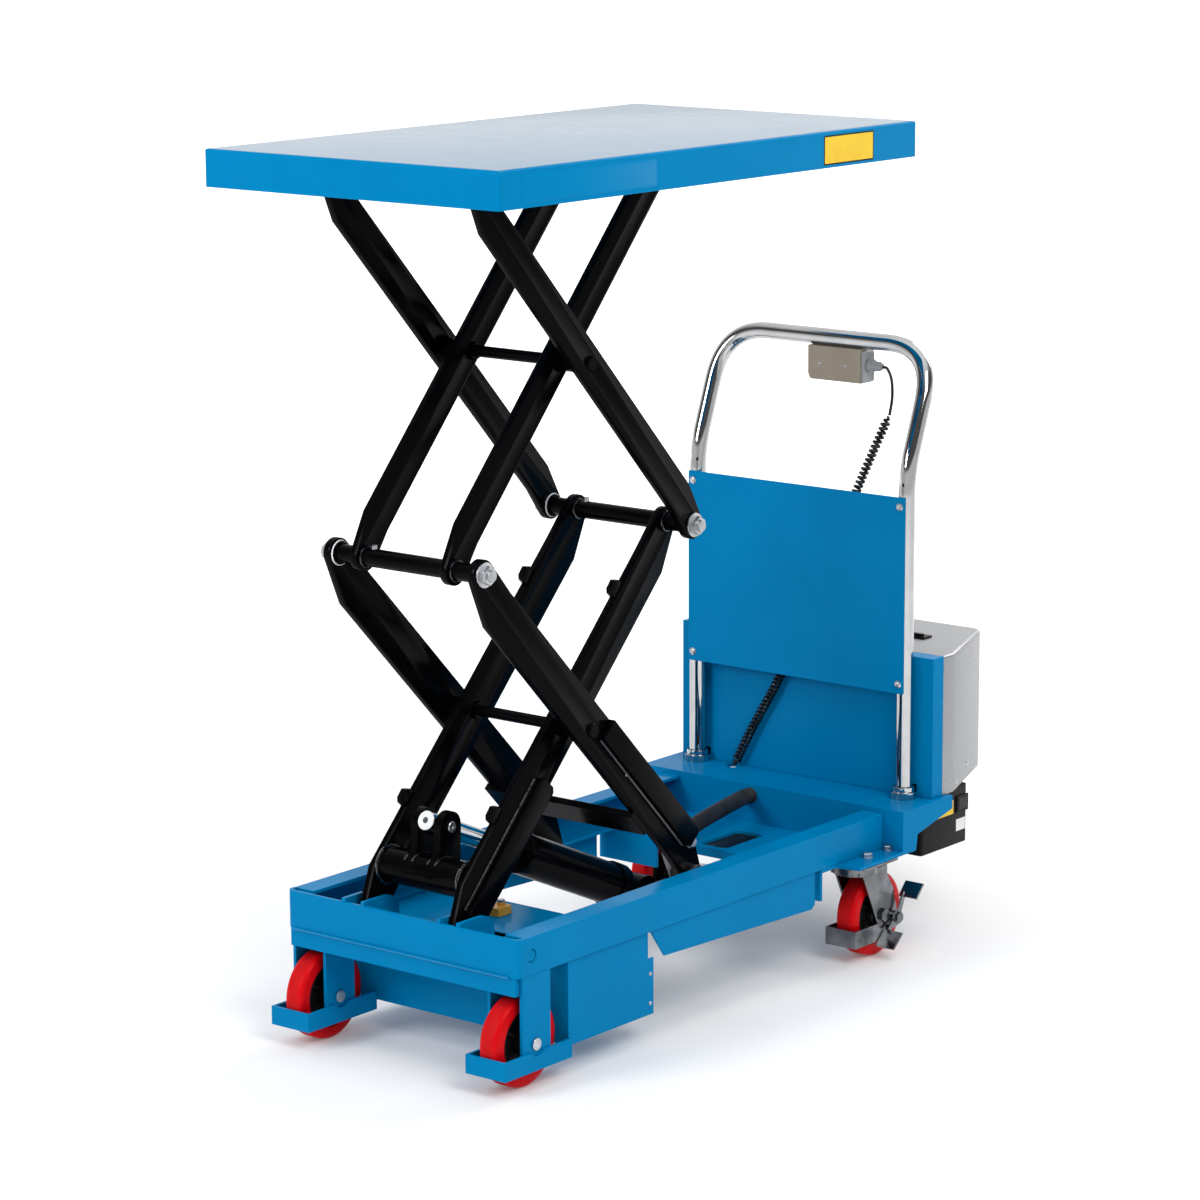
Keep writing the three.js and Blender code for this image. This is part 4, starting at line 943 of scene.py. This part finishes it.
# ---------------------------------------------------------------- small fittings
def screw(name, at, axis, radius, height, body):
    """A domed screw head with a raised bar across it, standing on a face."""
    dome = [
        (0, PINHOLE),
        (0, radius),
        (0.3 * height, radius * 0.97),
        (0.7 * height, radius * 0.74),
        (height, radius * 0.42),
        (height, PINHOLE),
    ]
    cap = lathe(dome, 24, "Z")
    long, narrow = 0.5 * radius, 0.09 * radius
    cross = box_mesh((-long, -narrow, height * 0.9), (long, narrow, height * 1.06))
    return new_piece(name, turned_to(merged([cap, cross]), at, axis), ZINC, body)


def make_fittings():
    """Screws of the front panel and the belly box, and the control bracket's rivets."""
    low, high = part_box("front_panel")
    for row, z in enumerate((low.z + 14 * MM, high.z - 14 * MM)):
        for side, word in SIDES:
            at = (side * (high.x - 9 * MM), low.y, z)
            screw(f"panel_screw_{row}_{word}", at, (0, -1, 0), 6 * MM, 3 * MM, "base")
    low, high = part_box("belly_box")
    for row, z in enumerate((low.z + 16 * MM, high.z - 60 * MM)):
        for side, word in SIDES:
            at = (side * high.x, high.y - 8 * MM, z)
            screw(f"box_screw_{row}_{word}", at, (side, 0, 0), 3 * MM, 1.8 * MM, "base")
    low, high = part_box("control_bracket")
    for row, x in enumerate((low.x + 22 * MM, high.x - 26 * MM)):
        screw(f"bracket_rivet_{row}", (x, low.y, low.z + 24 * MM), (0, -1, 0), 2.6 * MM, 1.4 * MM, "base")


def make_scissor_fittings():
    """Grub screws and seat rings on the cross tubes, weld beads and pin ends on the torque tube."""
    ahead, up = Vector((0, 1, 0)), Vector((0, 0, 1))
    for name, y in (("rear_mid_tube", KNEE.y), ("front_mid_tube", PIVOT.y)):
        body = body_of(name)
        centre = Vector((0, y, PIVOT.z + RISE))
        for side, word in SIDES:
            ring = lathe(
                [
                    (side * 117.2 * MM, 15 * MM),
                    (side * 117.2 * MM, 17 * MM),
                    (side * 118.6 * MM, 17.4 * MM),
                    (side * 118.6 * MM, 15 * MM),
                ],
                48,
                at=centre,
            )
            new_piece(f"{name}_seat_{word}", ring, WHITE, body)
            for face in (70.6, 85.6):
                spot = centre + Vector((side * face * MM, 0, 0))
                bead = weld_bead(circle(spot, ahead, up, 13.2 * MM, 40), 1.8 * MM)
                new_piece(f"{name}_bead_{int(face)}_{word}", bead, BEAD, body)
        grub = centre + Vector((-58 * MM, 0, 12 * MM))
        hex_bolt(f"{name}_grub", grub, (0, 0, 1), 7 * MM, 6 * MM, body)
    body = body_of("torque_tube")
    centre = Vector((0, FRONT + 139 * MM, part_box("torque_tube")[0].z + 25 * MM))
    for side, word in SIDES:
        spot = centre + Vector((side * 70.4 * MM, 0, 0))
        bead = weld_bead(circle(spot, ahead, up, 25.8 * MM, 60), 2.6 * MM)
        new_piece(f"torque_bead_{word}", bead, BEAD, body)
        for face in (13.4, 26.6):
            spot = centre + Vector((side * face * MM, 0, 0))
            arc = circle(spot, ahead, up, 25.3 * MM, 40, math.radians(20), math.radians(138))
            bead = weld_bead(arc, 1.7 * MM)
            new_piece(f"ear_bead_{int(face)}_{word}", bead, BEAD, body)
        pin = Vector((side * 26.8 * MM, FRONT + 154 * MM, 319 * MM))
        pin_end(f"cylinder_pin_end_{word}", pin, (side, 0, 0), 7.6 * MM, 2.4 * MM, body, ZINC)


def make_rod_face():
    """The turned end face of the rod, with its centre drilling, in line with the rod."""
    eye = Vector(joints["rod_swing"]["pos_m"])
    tilt = math.radians(24)
    out = Vector((0, -math.cos(tilt), math.sin(tilt)))
    at = eye + out * 21.8 * MM
    pin_end("rod_end_face", at, out, 13 * MM, 1.6 * MM, "rod", WHITE, 4.4 * MM)
    pin_end("rod_end_ring", at, out, 5 * MM, 1.8 * MM, "rod", SHADED_ZINC, 2.4 * MM)
    pin_end("rod_end_drilling", at, out, 2 * MM, 1.9 * MM, "rod", CASE, 0.6 * MM)


def make_base_fittings():
    """Pivot pins, caster bolts, a black plate of painted shade in the slot of the bridge's floor, the apron's
    weld, the valve's hose.
    """
    for side, word in SIDES:
        hole_at = Vector((side * 200 * MM, FRONT + 107 * MM, 184 * MM))
        pin_end(f"pivot_pin_end_{word}", hole_at, (side, 0, 0), 8 * MM, 3 * MM, "base", BLUE)
        for row, y in enumerate((850, 902)):
            at = Vector((side * 216 * MM, FRONT + y * MM, 157.7 * MM))
            hex_bolt(f"caster_bolt_{row}_{word}", at, (0, 0, 1), 13 * MM, 6 * MM, "base", 8.5 * MM)
    # Painted shade: a black plate fills the slot in the bridge's floor, where the open slot shows only shade
    # from beneath.
    slot = rounded_plan(-27 * MM, 27 * MM, FRONT + 762 * MM, FRONT + 863 * MM, 9 * MM)
    shade_plate = plate_mesh(slot, 2 * MM, 0.3 * MM, Matrix.Translation((0, 0, 152.2 * MM)))
    new_piece("slot_painted_shade", shade_plate, PLASTIC, "base")
    seam = [Vector((x * MM, FRONT + 76.6 * MM, 158.4 * MM)) for x in range(-190, 191, 5)]
    new_piece("apron_bead", weld_bead(seam, 1.8 * MM), BEAD_BLUE, "base")
    low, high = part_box("valve_block")
    hose = [
        Vector((low.x + 10 * MM, low.y + 10 * MM, high.z + 1 * MM)),
        Vector((low.x + 9 * MM, low.y + 6 * MM, high.z + 8 * MM)),
        Vector((low.x + 2 * MM, low.y - 8 * MM, high.z + 9 * MM)),
        Vector((low.x - 6 * MM, low.y - 20 * MM, high.z - 2 * MM)),
        Vector((low.x - 9 * MM, low.y - 25 * MM, high.z - 13 * MM)),
    ]
    route = spline_through(hose, 14)
    new_piece("valve_hose", sweep(route, 4.2 * MM, 14), SHEATH, "base")
    for row, (x, y) in enumerate(((10, 10), (26, 18))):
        at = Vector((low.x + x * MM, low.y + y * MM, high.z - 0.4 * MM))
        hex_bolt(f"valve_union_{row}", at, (0, 0, 1), 9 * MM, 4 * MM, "base")


def surface_point(node, side, y, z):
    """Where a line along X from outside first meets a CAD node, and the face's outward direction there."""
    start = Vector((side, FRONT + y * MM, z * MM))
    work = bmesh.new()
    work.from_mesh(nodes[node].data)
    spot, normal, _, _ = BVHTree.FromBMesh(work).ray_cast(start, Vector((-side, 0, 0)))
    work.free()
    return (spot, normal) if spot else None


def label(name, low, high, material, body):
    return new_piece(name, box_mesh(low, high), material, body)


def make_rear_fittings():
    """Screws and latch of the rear cover, and the charger's labels and socket."""
    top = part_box("rear_cover")[1].z
    for side, word in SIDES:
        for row, (y, z) in enumerate(((1068, 229), (1136, 240))):
            at = surface_point("rear_cover", side, y, z)
            if at:
                screw(f"cover_screw_{row}_{word}", at[0], at[1], 4.5 * MM, 2.4 * MM, "base")
    seat, crest = top + 3 * MM, top + 7 * MM
    latch = box_mesh((112 * MM, FRONT + 1098 * MM, top), (142 * MM, FRONT + 1120 * MM, seat))
    grip = box_mesh((118 * MM, FRONT + 1102 * MM, seat), (136 * MM, FRONT + 1108 * MM, crest))
    new_piece("cover_latch", merged([latch, grip]), PLASTIC, "base")
    low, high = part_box("charger")
    face = high.x
    proud = 0.4 * MM
    socket = 2.4 * MM

    def spot(out, y, z):
        return (face + out, low.y + y * MM, low.z + z * MM)

    plates = (
        ("charger_label", spot(0, 39, 49), spot(proud, 84, 70), YELLOW),
        ("charger_note", spot(0, 92, 20), spot(proud, 116, 38), WHITE),
        ("charger_socket", spot(0, 92, 49), spot(socket, 121, 74), PLASTIC),
        ("charger_socket_well", spot(socket, 96, 53), spot(socket + proud, 117, 70), CASE),
    )
    for name, near, far, material in plates:
        label(name, near, far, material, "base")


make_fittings()
make_scissor_fittings()
make_rod_face()
make_base_fittings()


# ---------------------------------------------------------------- labels
def make_labels():
    """The deck's yellow plate with its dark border, and the plain film in the sticker's place."""
    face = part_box("deck")[1].x
    proud = 0.25 * MM
    y0, y1, z0, z1 = FRONT + 683 * MM, FRONT + 800 * MM, TOP - 46 * MM, TOP - 6 * MM
    label("plate_border", (face, y0, z0), (face + proud, y1, z1), PLASTIC, "platform")
    rim = 2 * MM
    label(
        "plate_face",
        (face + proud, y0 + rim, z0 + rim),
        (face + 1.6 * proud, y1 - rim, z1 - rim),
        YELLOW,
        "platform",
    )
    outline = rounded_plan(FRONT + 42 * MM, FRONT + 314 * MM, TOP - 44 * MM, TOP - 8 * MM, 5 * MM)
    shift = Matrix(((0, 0, 1, face), (1, 0, 0, 0), (0, 1, 0, 0), (0, 0, 0, 1)))
    sticker = plate_mesh(outline, 0.5 * MM, 0.1 * MM, shift)
    new_piece("side_sticker", sticker, STICKER, "platform")


make_labels()
make_rear_fittings()


# ---------------------------------------------------------------- studio
def make_world():
    """White behind the table and overhead, pale at the horizon, dim elsewhere for contrast in the metal."""
    world = bpy.data.worlds.new("studio")
    world.use_nodes = True
    tree = world.node_tree
    link = tree.links.new
    direction = tree.nodes.new("ShaderNodeTexCoord").outputs["Generated"]

    def ramp(vector, start, end, low, high):
        dot = tree.nodes.new("ShaderNodeVectorMath")
        dot.operation = "DOT_PRODUCT"
        dot.inputs[1].default_value = vector
        link(direction, dot.inputs[0])
        spread = tree.nodes.new("ShaderNodeMapRange")
        spread.interpolation_type = "SMOOTHSTEP"
        for socket, value in zip(("From Min", "From Max", "To Min", "To Max"), (start, end, low, high)):
            spread.inputs[socket].default_value = value
        link(dot.outputs["Value"], spread.inputs["Value"])
        return spread.outputs[0]

    def brighter_of(first, second):
        brighter = tree.nodes.new("ShaderNodeMath")
        brighter.operation = "MAXIMUM"
        link(first, brighter.inputs[0])
        link(second, brighter.inputs[1])
        return brighter.outputs[0]

    behind = ramp(BACKDROP, 0.1, 0.7, 0.1, 1.0)
    overhead = ramp((0, 0, 1), 0.45, 0.95, 0.0, 1.1)
    horizon = ramp((0, 0, 1), 0.13, 0.24, 0.72, 0.0)
    glow = brighter_of(brighter_of(behind, overhead), horizon)
    link(glow, tree.nodes["Background"].inputs["Color"])
    scene.world = world


def floor_material():
    """Pale floor that brightens to white far behind the table, which hides its edge in the main view."""
    shader = Shader("studio_floor")
    shader.set("Base Color", shader.mix(shader.noise(3, 4), (0.8, 0.8, 0.805), (0.82, 0.82, 0.825)))
    shader.set("Roughness", shader.between(shader.noise(11, 3), 0.7, 0.85))
    shader.bump(shader.noise(60, 3), 0.02, 0.0005)
    inputs = {0: shader.place, 1: BACKDROP}
    behind = shader.add("ShaderNodeVectorMath", inputs, operation="DOT_PRODUCT").outputs["Value"]
    shader.body.inputs["Emission Color"].default_value = (1, 1, 1, 1)
    shader.set("Emission Strength", shader.between(behind, 0.1, 0.85, 0.6, 5.0))
    return shader.material


def make_studio():
    size = 60
    mesh = box_mesh((-size, -size, -0.05), (size, size, 0))
    mesh.materials.append(floor_material())
    floor = bpy.data.objects.new("floor", mesh)
    scene.collection.objects.link(floor)
    make_world()
    # Name, place, width, power and tint.
    lamps = (
        ("key", (3.2, -1.2, 3.4), 2.0, 88, (1.0, 0.99, 0.98)),
        ("front", (-1.4, -4.0, 2.6), 1.6, 90, (0.99, 0.99, 1.0)),
        ("rear", (0.4, 3.4, 3.0), 2.2, 62, (1.0, 1.0, 1.0)),
    )
    for name, place, width, power, tint in lamps:
        data = bpy.data.lights.new(name, "AREA")
        data.shape = "SQUARE"
        data.size = width
        data.energy = power
        data.color = tint
        lamp = bpy.data.objects.new(name, data)
        lamp.location = place
        aim = Vector((0, 0, 0.6)) - Vector(place)
        lamp.rotation_mode = "QUATERNION"
        lamp.rotation_quaternion = aim.to_track_quat("-Z", "Y")
        scene.collection.objects.link(lamp)
    scene.view_settings.view_transform = "Standard"


make_studio()
